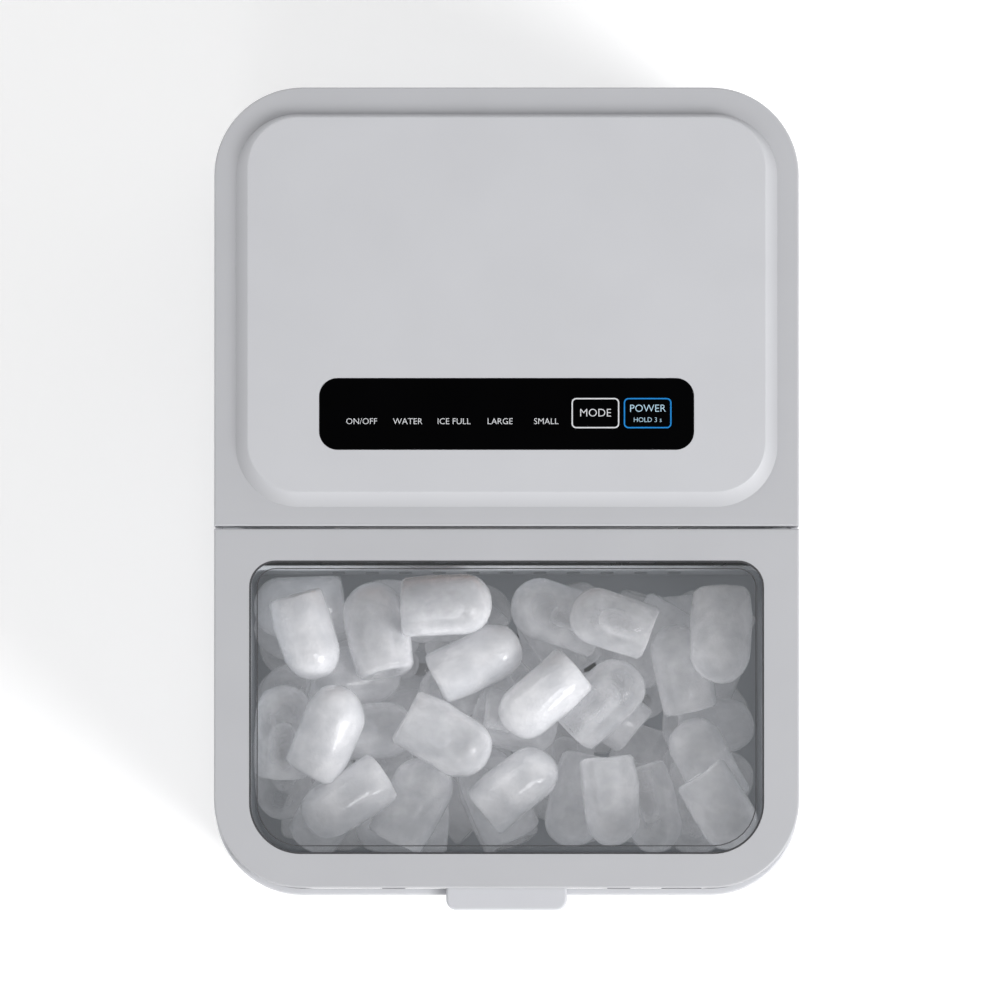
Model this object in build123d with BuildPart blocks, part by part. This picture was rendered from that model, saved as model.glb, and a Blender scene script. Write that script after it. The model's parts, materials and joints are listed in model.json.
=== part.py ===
"""Countertop ice maker: bullet-shaped ice falls into a basket under a hinged lid with a clear window.

Millimetres, +Z up. The front is -Y. The origin is on the surface that the feet stand on, under the
middle of the plan of the lid and the rear cover.
"""

import os
from math import cos, radians, sin

from build123d import *

os.makedirs("parts", exist_ok=True)

# ---------------------------------------------------------------------------------------------
# Driving dimensions
# ---------------------------------------------------------------------------------------------

# Outer form
body_width = 222.0  # across the casing
body_depth = 304.0  # lid's front edge to the back
body_rim = 290.0  # height of the body shell's top rim
cover_rise = 26.0  # rim to the top faces of the lid and the rear cover
plan_radius = 33.5  # upright corners of the casing
body_lip = 2.7  # how far the body stands out in front of the lid
shell_wall = 2.5
edge_round = 0.8
foot_height = 8.0
foot_radius = 13.0
base_thickness = 2.5
fit_gap = 0.3  # between pieces dropped into each other
touch_gap = 0.05  # running fit of a shaft in its hole, on the radius

# Rear cover and control panel
platform_rise = 4.0
platform_width = 196.6
platform_rear_inset = 11.4  # back of the casing to the platform's rear edge
platform_depth = 142.5
platform_radius = 19.0
skirt_side = 4.5  # width of the sloped skirt round the platform
skirt_front = 5.5
skirt_rear = 1.2
panel_width = 142.3
panel_depth = 27.3
panel_radius = 7.0
panel_thickness = 1.2
panel_rear_inset = 110.6  # back of the casing to the panel's rear edge
indicator_pitch = 17.5
indicator_count = 5
first_indicator_x = -55.0
key_centres_x = (33.7, 53.5)

# Lid
lid_depth = 136.8
split_gap = 0.9  # between the lid and the rear cover
lid_gap = 0.6  # between the lid's skirt and the body's rim
window_side = 13.3  # frame beside the window
window_rear = 12.1
window_front = 12.9
window_rear_radius = 10.0
window_front_radius = 19.5
pane_bevel = 2.4  # sloped edge of the clear pane
pane_rise = 1.4  # height of that slope
gasket_width = 0.7
pane_thickness = 2.3
liner_ring = 2.5
tab_width = 46.0
tab_reach = 8.4
tab_thickness = 4.5
tab_radius = 4.0
hinge_from_split = 14.0
hinge_depth = 5.7  # lid's top face to the hinge axis
hinge_pin_radius = 1.5
hinge_eye_radius = 2.8
hinge_ear_thickness = 3.2

# Tank, insulation and basket
tank_wall = 2.0
tank_floor = 61.8  # underside of the reservoir
tank_shelf = 158.0  # underside of the shelf behind the basket
tank_radius = 24.0
insulation_side = 4.4
insulation_floor = 11.5
basket_wall = 1.6
basket_gap = 2.0  # basket to tank wall
basket_floor = 172.0
basket_height = 92.0
basket_radius = 22.0
rail_width = 8.0  # ledges that the basket rests on
rail_height = 6.0

# Ice making
pivot_y = 38.0  # axis of the tilting water tray
pivot_z = 238.0
tray_width = 132.0
tray_depth = 58.0
tray_height = 32.0
tray_wall = 2.0
tray_journal_radius = 3.0
finger_radius = 4.5
finger_pitch = 25.0
finger_tip = 214.0
finger_row_offsets = (20.0, 42.0)  # rows in front of the tray's axis
header_radius = 6.0
header_z = 262.0
shovel_reach = 6.0
shovel_thickness = 2.0
motor_radius = 22.0
motor_thickness = 16.5
motor_shaft_radius = 2.5
cheek_thickness = 4.0
cheek_gap = 1.0

# Cooling machinery
compressor_x = 45.0
compressor_y = 92.0
compressor_radius = 46.0
compressor_floor = 24.0
compressor_top = 132.0
grommet_radius = 7.0
condenser_x = -95.0
condenser_width = 22.0
condenser_front = 28.0
condenser_depth = 92.0
condenser_height = 110.0
fin_count = 19
fin_thickness = 0.8
condenser_tube_radius = 3.5
fan_radius = 40.0
fan_clearance = 3.0
fan_axis_y = 74.0
fan_axis_z = 70.0
fan_blades = 7
fan_motor_radius = 19.0
suction_radius = 3.5
gas_radius = 2.5
capillary_radius = 1.25

# Worked out from these
half_width = body_width / 2
rear_y = body_depth / 2
front_y = -body_depth / 2
body_front_y = front_y - body_lip
top_z = body_rim + cover_rise
platform_z = top_z + platform_rise
split_y = front_y + lid_depth
inner_half = half_width - shell_wall
inner_rear = rear_y - shell_wall
inner_front = body_front_y + shell_wall
inner_radius = plan_radius - shell_wall
base_top = foot_height + base_thickness


def outline(half, y_front, y_rear, front_radius, rear_radius, mode=Mode.ADD):
    """Rectangle about X = 0 with its own corner radius at the front and at the rear."""
    with BuildLine() as edge:
        FilletPolyline(
            (-half, y_front),
            (half, y_front),
            (half, y_rear),
            (-half, y_rear),
            radius=[front_radius, front_radius, rear_radius, rear_radius],
            close=True,
        )
    make_face(edge.line, mode=mode)


def tube_along(points, radii, radius, bore=0.0):
    """Round tube along straight runs joined by arcs; goes inside a BuildPart block."""
    with BuildLine() as route:
        FilletPolyline(*points, radius=radii)
    with BuildSketch(Plane(origin=route.line @ 0, z_dir=route.line % 0)) as section:
        Circle(radius)
        if bore:
            Circle(bore, mode=Mode.SUBTRACT)
    sweep(section.sketch, path=route.line)


def keep(piece, name):
    """Label a finished piece and write it as one STEP file."""
    piece.part.label = name
    export_step(piece.part, f"parts/{name}.step")


# ---------------------------------------------------------------------------------------------
# Casing
# ---------------------------------------------------------------------------------------------

foot_spots = [(x, y) for x in (-half_width + 34, half_width - 34) for y in (front_y + 30, rear_y - 32)]
foot_recess_radius = 5.0
foot_recess = 4.0

with BuildPart() as feet:
    with BuildSketch():
        with Locations(*foot_spots):
            Circle(foot_radius)
    extrude(amount=foot_height, taper=4)
    with Locations(*[(x, y, 0) for x, y in foot_spots]):
        Cylinder(
            foot_recess_radius,
            foot_recess,
            align=(Align.CENTER, Align.CENTER, Align.MIN),
            mode=Mode.SUBTRACT,
        )
keep(feet, "feet")

# Screws that hold the shell come up through the base plate into posts on the shell's walls.
post_radius = 4.5
post_top = 40.0
screw_radius = 1.4
screw_hole_radius = 1.7
screw_pilot_radius = 1.45
side_post_x = inner_half - post_radius
post_spots = [(-45, inner_front + post_radius), (45, inner_front + post_radius)]
post_spots += [(-60, inner_rear - post_radius), (-15, inner_rear - post_radius)]
post_spots += [(-side_post_x, -70), (-side_post_x, 5)]
post_spots += [(side_post_x, -70), (side_post_x, 5), (side_post_x, 60)]

# Columns on the base plate carry the insulated tank.
column_radius = 7.0
insulation_bottom = tank_floor - insulation_floor
column_spots = [(-40, front_y + 34), (40, front_y + 34), (-75, -6), (75, -6)]

with BuildPart() as base_plate:
    with BuildSketch(Plane.XY.offset(foot_height)):
        outline(
            inner_half - fit_gap,
            inner_front + fit_gap,
            inner_rear - fit_gap,
            inner_radius - fit_gap,
            inner_radius - fit_gap,
        )
        with Locations(*post_spots):
            Circle(screw_hole_radius, mode=Mode.SUBTRACT)
    extrude(amount=base_thickness)
    with BuildSketch(Plane.XY.offset(base_top)):
        with Locations(*column_spots):
            Circle(column_radius)
    extrude(amount=insulation_bottom - base_top)
keep(base_plate, "base_plate")

screw_head_radius = 3.0
screw_head_height = 1.8
screw_length = 16.0

with BuildPart() as base_screws:
    with BuildSketch(Plane.XY.offset(foot_height - screw_head_height)):
        with Locations(*post_spots):
            Circle(screw_head_radius)
    extrude(amount=screw_head_height)
    with BuildSketch(Plane.XY.offset(foot_height)):
        with Locations(*post_spots):
            Circle(screw_radius)
    extrude(amount=screw_length)
keep(base_screws, "base_screws")

# Rear grille, its opening in the shell and the louvred vents in both sides
grille_width = 140.0
grille_bottom = 60.0
grille_top = 206.0
grille_flange = 5.0
grille_flange_thickness = 1.5
grille_slot_height = 4.0
grille_slot_pitch = 9.0
grille_slot_length = 62.0
louvre_count = 12
louvre_height = 3.4
louvre_pitch = 7.6
louvre_length = 84.0
louvre_bottom = 30.0
louvre_centre_y = fan_axis_y

drain_x = 70.0
drain_y = front_y + 27.0
drain_z = 34.0
drain_outer = 7.0
drain_bore = 4.5
drain_cap_radius = drain_outer + 1.0
gland_x = 64.0
gland_z = 40.0
gland_radius = 6.0

cover_screw_x = 40.0
cover_screw_head = 1.4
cover_tab_width = 16.0
cover_tab_height = 10.0
cover_tab_root = 10.0

with BuildPart() as body_shell:
    with BuildSketch(Plane.XY.offset(foot_height)):
        outline(half_width, body_front_y, rear_y, plan_radius, plan_radius)
    extrude(amount=body_rim - foot_height)
    fillet(body_shell.edges().group_by(Axis.Z)[-1], edge_round)
    chamfer(body_shell.edges().group_by(Axis.Z)[0], edge_round)
    with BuildSketch(Plane.XY.offset(foot_height)):
        outline(inner_half, inner_front, inner_rear, inner_radius, inner_radius)
    extrude(amount=body_rim - foot_height, mode=Mode.SUBTRACT)
    # screw posts, joined to the walls
    for x, y in post_spots:
        on_side = abs(x) > half_width * 0.8
        reach_x = post_radius if on_side else 0
        reach_y = 0 if on_side else post_radius
        post_x = x + (reach_x / 2 if x > 0 else -reach_x / 2)
        post_y = y + (reach_y / 2 if y > 0 else -reach_y / 2)
        with BuildSketch(Plane.XY.offset(base_top)):
            with Locations((x, y)):
                Circle(post_radius)
            with Locations((post_x, post_y)):
                Rectangle(
                    reach_x if on_side else 2 * post_radius,
                    2 * post_radius if on_side else reach_y,
                )
            with Locations((x, y)):
                Circle(screw_pilot_radius, mode=Mode.SUBTRACT)
        extrude(amount=post_top - base_top)
    # upright tabs that the rear cover is screwed to
    with BuildSketch(Plane.XY.offset(body_rim - cover_tab_root)):
        with Locations((-cover_screw_x, inner_rear), (cover_screw_x, inner_rear)):
            Rectangle(cover_tab_width, shell_wall, align=(Align.CENTER, Align.MAX))
    extrude(amount=cover_tab_root + cover_tab_height)
    with BuildSketch(Plane.XZ.offset(-inner_rear)):
        with Locations(*[(x, body_rim + cover_tab_height / 2) for x in (-cover_screw_x, cover_screw_x)]):
            Circle(screw_pilot_radius)
    extrude(amount=shell_wall, mode=Mode.SUBTRACT)
    # opening for the rear grille
    with BuildSketch(Plane.XZ.offset(-rear_y)):
        with Locations((0, (grille_bottom + grille_top) / 2)):
            RectangleRounded(grille_width, grille_top - grille_bottom, 6)
        with Locations((gland_x, gland_z)):
            Circle(gland_radius + fit_gap)
    extrude(amount=shell_wall, mode=Mode.SUBTRACT)
    # side vents
    with BuildSketch(Plane.YZ.offset(-half_width)):
        for row in range(louvre_count):
            with Locations((louvre_centre_y, louvre_bottom + row * louvre_pitch)):
                SlotOverall(louvre_length, louvre_height)
    extrude(amount=body_width, mode=Mode.SUBTRACT)
    # drain outlet
    with BuildSketch(Plane.XZ.offset(-body_front_y)):
        with Locations((drain_x, drain_z)):
            Circle(drain_cap_radius + fit_gap)
    extrude(amount=-shell_wall, mode=Mode.SUBTRACT)
front_seam_y = body_front_y + plan_radius
rear_seam_y = rear_y - plan_radius


def body_panel(x_low, x_high, y_low, y_high):
    """The part of the body's wall that lies between these seams."""
    with BuildPart() as panel:
        add(body_shell.part)
        with Locations(((x_low + x_high) / 2, (y_low + y_high) / 2, (body_rim + cover_tab_height) / 2)):
            Box(x_high - x_low, y_high - y_low, body_rim + cover_tab_height, mode=Mode.INTERSECT)
    return panel


keep(body_panel(-half_width, half_width, body_front_y, front_seam_y), "front_moulding")
keep(body_panel(-half_width, 0, front_seam_y, rear_seam_y), "left_side_panel")
keep(body_panel(0, half_width, front_seam_y, rear_seam_y), "right_side_panel")
keep(body_panel(-half_width, half_width, rear_seam_y, rear_y), "rear_moulding")

with BuildPart() as rear_grille:
    with BuildSketch(Plane.XZ.offset(-inner_rear)):
        with Locations((0, (grille_bottom + grille_top) / 2)):
            RectangleRounded(
                grille_width - 2 * fit_gap, grille_top - grille_bottom - 2 * fit_gap, 6 - fit_gap
            )
    extrude(amount=-shell_wall)
    with BuildSketch(Plane.XZ.offset(-inner_rear)):
        with Locations((0, (grille_bottom + grille_top) / 2)):
            RectangleRounded(
                grille_width + 2 * grille_flange, grille_top - grille_bottom + 2 * grille_flange, 8
            )
    extrude(amount=grille_flange_thickness)
    grille_rows = int((grille_top - grille_bottom - 16) / grille_slot_pitch)
    with BuildSketch(Plane.XZ.offset(-rear_y)):
        for row in range(grille_rows + 1):
            slot_z = grille_bottom + 9 + row * grille_slot_pitch
            with Locations((-grille_slot_length / 2 - 4, slot_z), (grille_slot_length / 2 + 4, slot_z)):
                SlotOverall(grille_slot_length, grille_slot_height)
    extrude(amount=shell_wall + grille_flange_thickness, mode=Mode.SUBTRACT)
keep(rear_grille, "rear_grille")

with BuildPart() as inlet_gland:
    with BuildSketch(Plane.XZ.offset(-rear_y)):
        with Locations((gland_x, gland_z)):
            Circle(gland_radius + 3)
    extrude(amount=-2.5)
    with BuildSketch(Plane.XZ.offset(-rear_y)):
        with Locations((gland_x, gland_z)):
            Circle(gland_radius)
    extrude(amount=shell_wall + 6)
    with BuildSketch(Plane.XZ.offset(-rear_y - 2.5)):
        with Locations((gland_x, gland_z)):
            Circle(gland_radius)
    extrude(amount=-5, taper=12)
    with BuildSketch(Plane.XZ.offset(-rear_y - 8)):
        with Locations((gland_x, gland_z)):
            Circle(3.5)
    extrude(amount=20, mode=Mode.SUBTRACT)
keep(inlet_gland, "inlet_gland")

# ---------------------------------------------------------------------------------------------
# Rear cover with its raised platform and the control panel
# ---------------------------------------------------------------------------------------------

cover_front_y = split_y + split_gap / 2
lid_rear_y = split_y - split_gap / 2
platform_rear_y = rear_y - platform_rear_inset
platform_front_y = platform_rear_y - platform_depth
panel_rear_y = rear_y - panel_rear_inset
panel_y = panel_rear_y - panel_depth / 2
panel_floor = platform_z - panel_thickness
cover_skin = 2.5
indicator_xs = [first_indicator_x + i * indicator_pitch for i in range(indicator_count)]
indicator_y = panel_y + 4.0
indicator_radius = 1.5
board_half = 62.0
board_half_depth = 12.0
board_z = 308.0
board_thickness = 1.6
board_post_radius = 2.5
board_post_spots = [(x, panel_y + y) for x in (-66, 66) for y in (-9, 9)]

with BuildPart() as rear_cover:
    with BuildSketch(Plane.XY.offset(body_rim)):
        outline(half_width, cover_front_y, rear_y, 0, plan_radius)
    extrude(amount=cover_rise)
    fillet(rear_cover.edges().group_by(Axis.Z)[-1], edge_round)
    # raised platform with its sloped skirt
    with BuildSketch(Plane.XY.offset(top_z)):
        outline(
            platform_width / 2 + skirt_side,
            platform_front_y - skirt_front,
            platform_rear_y + skirt_rear,
            platform_radius + skirt_side,
            platform_radius + skirt_side,
        )
    with BuildSketch(Plane.XY.offset(platform_z)):
        outline(
            platform_width / 2, platform_front_y, platform_rear_y, platform_radius, platform_radius
        )
    loft()
    fillet(rear_cover.faces().sort_by(Axis.Z)[-1].edges(), edge_round)
    # hollow inside, following the platform
    with BuildSketch(Plane.XY.offset(body_rim)):
        outline(inner_half, cover_front_y + cover_skin, inner_rear, 0, inner_radius)
    extrude(amount=cover_rise - cover_skin, mode=Mode.SUBTRACT)
    with BuildSketch(Plane.XY.offset(top_z - cover_skin)):
        outline(
            platform_width / 2 - cover_skin,
            platform_front_y + cover_skin,
            platform_rear_y - cover_skin,
            platform_radius - cover_skin,
            platform_radius - cover_skin,
        )
    extrude(amount=platform_rise, mode=Mode.SUBTRACT)
    # posts that carry the control board
    with BuildSketch(Plane.XY.offset(board_z + board_thickness)):
        with Locations(*board_post_spots):
            Circle(board_post_radius)
    extrude(until=Until.NEXT)
    # recess for the control panel, with a light hole over each indicator
    with BuildSketch(Plane.XY.offset(panel_floor)):
        with Locations((0, panel_y)):
            RectangleRounded(panel_width, panel_depth, panel_radius)
    extrude(amount=panel_thickness, mode=Mode.SUBTRACT)
    with BuildSketch(Plane.XY.offset(panel_floor)):
        with Locations(*[(x, indicator_y) for x in indicator_xs]):
            Circle(indicator_radius + fit_gap)
    extrude(amount=-cover_skin, mode=Mode.SUBTRACT)
    # screw holes in the rear wall
    with BuildSketch(Plane.XZ.offset(-rear_y)):
        with Locations(*[(x, body_rim + cover_tab_height / 2) for x in (-cover_screw_x, cover_screw_x)]):
            Circle(screw_hole_radius)
    extrude(amount=shell_wall, mode=Mode.SUBTRACT)
    # shallow counterbores, so that the screw heads sit flush
    with BuildSketch(Plane.XZ.offset(-rear_y)):
        with Locations(*[(x, body_rim + cover_tab_height / 2) for x in (-cover_screw_x, cover_screw_x)]):
            Circle(screw_head_radius + fit_gap)
    extrude(amount=cover_screw_head, mode=Mode.SUBTRACT)
keep(rear_cover, "rear_cover")

with BuildPart() as cover_screws:
    for x in (-cover_screw_x, cover_screw_x):
        with BuildSketch(Plane.XZ.offset(-rear_y)):
            with Locations((x, body_rim + cover_tab_height / 2)):
                Circle(screw_head_radius)
        extrude(amount=cover_screw_head)
        with BuildSketch(Plane.XZ.offset(-rear_y)):
            with Locations((x, body_rim + cover_tab_height / 2)):
                Circle(screw_radius)
        extrude(amount=2 * shell_wall + 2)
keep(cover_screws, "cover_screws")

with BuildPart() as control_panel:
    with BuildSketch(Plane.XY.offset(panel_floor)):
        with Locations((0, panel_y)):
            RectangleRounded(
                panel_width - 2 * touch_gap, panel_depth - 2 * touch_gap, panel_radius - touch_gap
            )
    extrude(amount=panel_thickness)
    chamfer(control_panel.edges().group_by(Axis.Z)[-1], 0.25)
keep(control_panel, "control_panel")

with BuildPart() as control_board:
    with BuildSketch(Plane.XY.offset(board_z)):
        with Locations((0, panel_y)):
            Rectangle(2 * board_half + 16, 2 * board_half_depth)
    extrude(amount=board_thickness)
keep(control_board, "control_board")

with BuildPart() as indicator_lights:
    with BuildSketch(Plane.XY.offset(board_z + board_thickness)):
        with Locations(*[(x, indicator_y) for x in indicator_xs]):
            Circle(indicator_radius)
    extrude(amount=panel_floor - board_z - board_thickness)
    fillet(indicator_lights.edges().group_by(Axis.Z)[-1], 0.6)
keep(indicator_lights, "indicator_lights")

# Coiled touch springs press up against the underside of the cover behind the two keys.
touch_spring_radius = 4.0
touch_wire = 0.6
touch_turns = 4
touch_rise = platform_z - cover_skin - 2 * touch_wire - board_z - board_thickness
with BuildPart() as touch_springs:
    for x in key_centres_x:
        for turn in range(touch_turns):
            ring_z = board_z + board_thickness + touch_wire + turn * touch_rise / (touch_turns - 1)
            with BuildSketch(Plane.XZ.offset(-panel_y)):
                with Locations((x + touch_spring_radius, ring_z)):
                    Circle(touch_wire)
            revolve(axis=Axis((x, panel_y, 0), (0, 0, 1)))
        with BuildSketch(Plane.XY.offset(board_z + board_thickness + touch_wire)):
            with Locations((x + touch_spring_radius, panel_y)):
                Circle(touch_wire)
        extrude(amount=touch_rise)
keep(touch_springs, "touch_springs")

# ---------------------------------------------------------------------------------------------
# Lid: frame, clear window, its gasket, the ring that holds it, hinge
# ---------------------------------------------------------------------------------------------

window_half = half_width - window_side
window_rear_y = lid_rear_y - window_rear
window_front_y = front_y + window_front
hinge_y = split_y - split_gap / 2 - hinge_from_split
hinge_z = top_z - hinge_depth
lid_bottom = body_rim + lid_gap
lid_skin = 2.5
skin_underside = top_z - lid_skin
pane_overlap = 3.0  # flange of the pane under the frame
pane_top = skin_underside
pane_bottom = pane_top - pane_thickness
ring_bottom = pane_bottom - liner_ring
ear_outer = inner_half - 1.1
ear_inner = ear_outer - hinge_ear_thickness
ring_half = ear_inner - 0.6
notch_margin = 0.6
rear_wall_bottom = body_rim + 10.0

with BuildPart() as lid_frame:
    with BuildSketch(Plane.XY.offset(lid_bottom)):
        outline(half_width, front_y, lid_rear_y, plan_radius, 0)
    extrude(amount=top_z - lid_bottom)
    fillet(lid_frame.edges().group_by(Axis.Z)[-1], edge_round)
    with BuildSketch(Plane.XY.offset(lid_bottom)):
        outline(inner_half, front_y + shell_wall, lid_rear_y - shell_wall, inner_radius, 0)
    extrude(amount=skin_underside - lid_bottom, mode=Mode.SUBTRACT)
    # window opening
    with BuildSketch(Plane.XY.offset(skin_underside)):
        outline(window_half, window_front_y, window_rear_y, window_front_radius, window_rear_radius)
    extrude(amount=lid_skin, mode=Mode.SUBTRACT)
    # rear wall stops short, and opens round the hinge ears, so that it swings clear
    with BuildSketch(Plane.XY.offset(lid_bottom)):
        with Locations((0, lid_rear_y)):
            Rectangle(2 * inner_half, shell_wall, align=(Align.CENTER, Align.MAX))
    extrude(amount=rear_wall_bottom - lid_bottom, mode=Mode.SUBTRACT)
    with BuildSketch(Plane.XY.offset(lid_bottom)):
        for side in (-1, 1):
            with Locations((side * (ear_inner + ear_outer) / 2, lid_rear_y)):
                Rectangle(
                    hinge_ear_thickness + 2 * notch_margin, shell_wall, align=(Align.CENTER, Align.MAX)
                )
    extrude(amount=skin_underside - lid_bottom, mode=Mode.SUBTRACT)
    # slot in the front skirt for the finger tab
    with BuildSketch(Plane.XY.offset(lid_bottom)):
        with Locations((0, front_y)):
            Rectangle(tab_width + 2 * fit_gap, shell_wall, align=(Align.CENTER, Align.MIN))
    extrude(amount=tab_thickness + fit_gap, mode=Mode.SUBTRACT)
    # hinge pin holes in the side skirts
    with BuildSketch(Plane.YZ.offset(-half_width)):
        with Locations((hinge_y, hinge_z)):
            Circle(hinge_pin_radius)
    extrude(amount=body_width, mode=Mode.SUBTRACT)
    # lower rear corners rounded about the hinge, so that the lid swings clear of the body's rim
    with BuildSketch(Plane.YZ.offset(-half_width)):
        with Locations((hinge_y, lid_bottom)):
            Rectangle(lid_rear_y - hinge_y, hinge_z - lid_bottom, align=(Align.MIN, Align.MIN))
        with Locations((hinge_y, hinge_z)):
            Circle(hinge_z - lid_bottom, mode=Mode.SUBTRACT)
    extrude(amount=body_width, mode=Mode.SUBTRACT)
keep(lid_frame, "lid_frame")

with BuildPart() as window_gasket:
    with BuildSketch(Plane.XY.offset(skin_underside)):
        outline(window_half, window_front_y, window_rear_y, window_front_radius, window_rear_radius)
        outline(
            window_half - gasket_width,
            window_front_y + gasket_width,
            window_rear_y - gasket_width,
            window_front_radius - gasket_width,
            window_rear_radius - gasket_width,
            mode=Mode.SUBTRACT,
        )
    extrude(amount=lid_skin - 0.2)
keep(window_gasket, "window_gasket")

with BuildPart() as lid_window:
    with BuildSketch(Plane.XY.offset(pane_bottom)):
        outline(
            window_half + pane_overlap,
            window_front_y - pane_overlap,
            window_rear_y + pane_overlap,
            window_front_radius + pane_overlap,
            window_rear_radius + pane_overlap,
        )
    extrude(amount=pane_thickness)
    with BuildSketch(Plane.XY.offset(pane_top)):
        outline(
            window_half - gasket_width,
            window_front_y + gasket_width,
            window_rear_y - gasket_width,
            window_front_radius - gasket_width,
            window_rear_radius - gasket_width,
        )
    extrude(amount=lid_skin - pane_rise)
    pane_edge = gasket_width + pane_bevel
    with BuildSketch(Plane.XY.offset(top_z - pane_rise)):
        outline(
            window_half - gasket_width,
            window_front_y + gasket_width,
            window_rear_y - gasket_width,
            window_front_radius - gasket_width,
            window_rear_radius - gasket_width,
        )
    with BuildSketch(Plane.XY.offset(top_z)):
        outline(
            window_half - pane_edge,
            window_front_y + pane_edge,
            window_rear_y - pane_edge,
            window_front_radius - pane_edge,
            window_rear_radius - pane_edge,
        )
    loft()
    # hollow underside, so that the pane is one even thickness
    with BuildSketch(Plane.XY.offset(pane_bottom)):
        outline(
            window_half - pane_edge,
            window_front_y + pane_edge,
            window_rear_y - pane_edge,
            window_front_radius - pane_edge,
            window_rear_radius - pane_edge,
        )
    extrude(amount=lid_skin, mode=Mode.SUBTRACT)
keep(lid_window, "lid_window")

with BuildPart() as lid_ring:
    with BuildSketch(Plane.XY.offset(ring_bottom)):
        outline(
            ring_half,
            front_y + shell_wall + fit_gap,
            lid_rear_y - shell_wall - fit_gap,
            inner_radius - fit_gap,
            2,
        )
        outline(
            window_half + 0.5,
            window_front_y - 0.5,
            window_rear_y + 0.5,
            window_front_radius,
            window_rear_radius,
            mode=Mode.SUBTRACT,
        )
    extrude(amount=liner_ring)
    # finger tab and the wall that carries it
    with BuildSketch(Plane.XY.offset(lid_bottom)):
        with Locations((0, front_y + shell_wall + fit_gap)):
            Rectangle(tab_width, 2.5, align=(Align.CENTER, Align.MIN))
    extrude(amount=ring_bottom - lid_bottom)
    with BuildSketch(Plane.XY.offset(lid_bottom)):
        with BuildLine() as tab_edge:
            FilletPolyline(
                (-tab_width / 2, front_y + shell_wall + fit_gap),
                (-tab_width / 2, front_y - tab_reach),
                (tab_width / 2, front_y - tab_reach),
                (tab_width / 2, front_y + shell_wall + fit_gap),
                radius=[tab_radius, tab_radius],
            )
            Line(tab_edge.line @ 1, tab_edge.line @ 0)
        make_face()
    extrude(amount=tab_thickness)
    fillet(lid_ring.faces().filter_by(Axis.Z).sort_by(Axis.Y)[0].edges().filter_by(
        lambda edge: edge.center().Y < front_y - 0.1), 1.0)
keep(lid_ring, "lid_ring")

with BuildPart() as hinge_pins:
    for side in (-1, 1):
        with BuildSketch(Plane.YZ.offset(side * ear_inner)):
            with Locations((hinge_y, hinge_z)):
                Circle(hinge_pin_radius)
        extrude(amount=side * (half_width - ear_inner))
keep(hinge_pins, "hinge_pins")

flange_thickness = 2.5
tank_rim = body_rim - 1.5
bracket_foot_front = hinge_y - 20.0
bracket_foot_rear = hinge_y - 2.0
bracket_foot = 2.5
with BuildPart() as hinge_brackets:
    for side in (-1, 1):
        with BuildSketch(Plane.YZ.offset(side * ear_inner)):
            with BuildLine():
                Polyline(
                    (bracket_foot_front, tank_rim),
                    (bracket_foot_rear, tank_rim),
                    (hinge_y + hinge_eye_radius, hinge_z),
                    (hinge_y - hinge_eye_radius, hinge_z),
                    (bracket_foot_front, tank_rim + bracket_foot),
                    close=True,
                )
            make_face()
            with Locations((hinge_y, hinge_z)):
                Circle(hinge_eye_radius)
                Circle(hinge_pin_radius + touch_gap, mode=Mode.SUBTRACT)
        extrude(amount=side * hinge_ear_thickness)
keep(hinge_brackets, "hinge_brackets")

# ---------------------------------------------------------------------------------------------
# Tank, insulation, basket
# ---------------------------------------------------------------------------------------------

insulation_half = inner_half - fit_gap
tank_half = insulation_half - insulation_side - fit_gap  # outside of the tank wall
tank_inner_half = tank_half - tank_wall
basket_half = tank_inner_half - basket_gap
basket_front = front_y + window_front - basket_wall - 0.6
tank_inner_front = basket_front - basket_gap
tray_swing_radius = 32.3  # reach of the tray's rear corner about its axis
tank_inner_rear = pivot_y + tray_swing_radius + 1.7
tank_front = tank_inner_front - tank_wall
tank_rear = tank_inner_rear + tank_wall
reservoir_rear = 8.0
tray_front_y = pivot_y - tray_depth - 2 * tray_wall
basket_rear = tray_front_y - shovel_thickness - 2.5
insulation_rear = tank_rear + 6.0
flange_rear = insulation_rear
flange_bottom = tank_rim - flange_thickness

with BuildPart() as inner_tank:
    with BuildSketch(Plane.XY.offset(tank_floor)):
        outline(tank_half, tank_front, reservoir_rear, tank_radius, 6)
    extrude(amount=tank_rim - tank_floor)
    with BuildSketch(Plane.XY.offset(tank_shelf)):
        outline(tank_half, reservoir_rear - 20, tank_rear, 0, 8)
    extrude(amount=tank_rim - tank_shelf)
    with BuildSketch(Plane.XY.offset(flange_bottom)):
        outline(
            insulation_half,
            inner_front + fit_gap,
            flange_rear,
            inner_radius - fit_gap,
            2,
        )
    extrude(amount=flange_thickness)
    with BuildSketch(Plane.XY.offset(tank_floor + tank_wall)):
        outline(
            tank_inner_half, tank_inner_front, reservoir_rear - tank_wall, tank_radius - tank_wall, 4
        )
    extrude(amount=tank_rim - tank_floor, mode=Mode.SUBTRACT)
    with BuildSketch(Plane.XY.offset(tank_shelf + tank_wall)):
        outline(tank_inner_half, reservoir_rear - 20, tank_inner_rear, 0, 6)
    extrude(amount=tank_rim - tank_shelf, mode=Mode.SUBTRACT)
    # rails that the basket stands on
    for side in (-1, 1):
        with BuildSketch(Plane.XY.offset(basket_floor - rail_height)):
            with Locations((side * (tank_inner_half - rail_width / 2), (basket_front + basket_rear) / 2)):
                Rectangle(rail_width, basket_rear - basket_front - 2 * tank_radius)
        extrude(amount=rail_height)
    # drain hole
    with BuildSketch(Plane.XY.offset(tank_floor)):
        with Locations((drain_x, drain_y)):
            Circle(drain_bore)
    extrude(amount=tank_wall, mode=Mode.SUBTRACT)
keep(inner_tank, "inner_tank")

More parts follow.
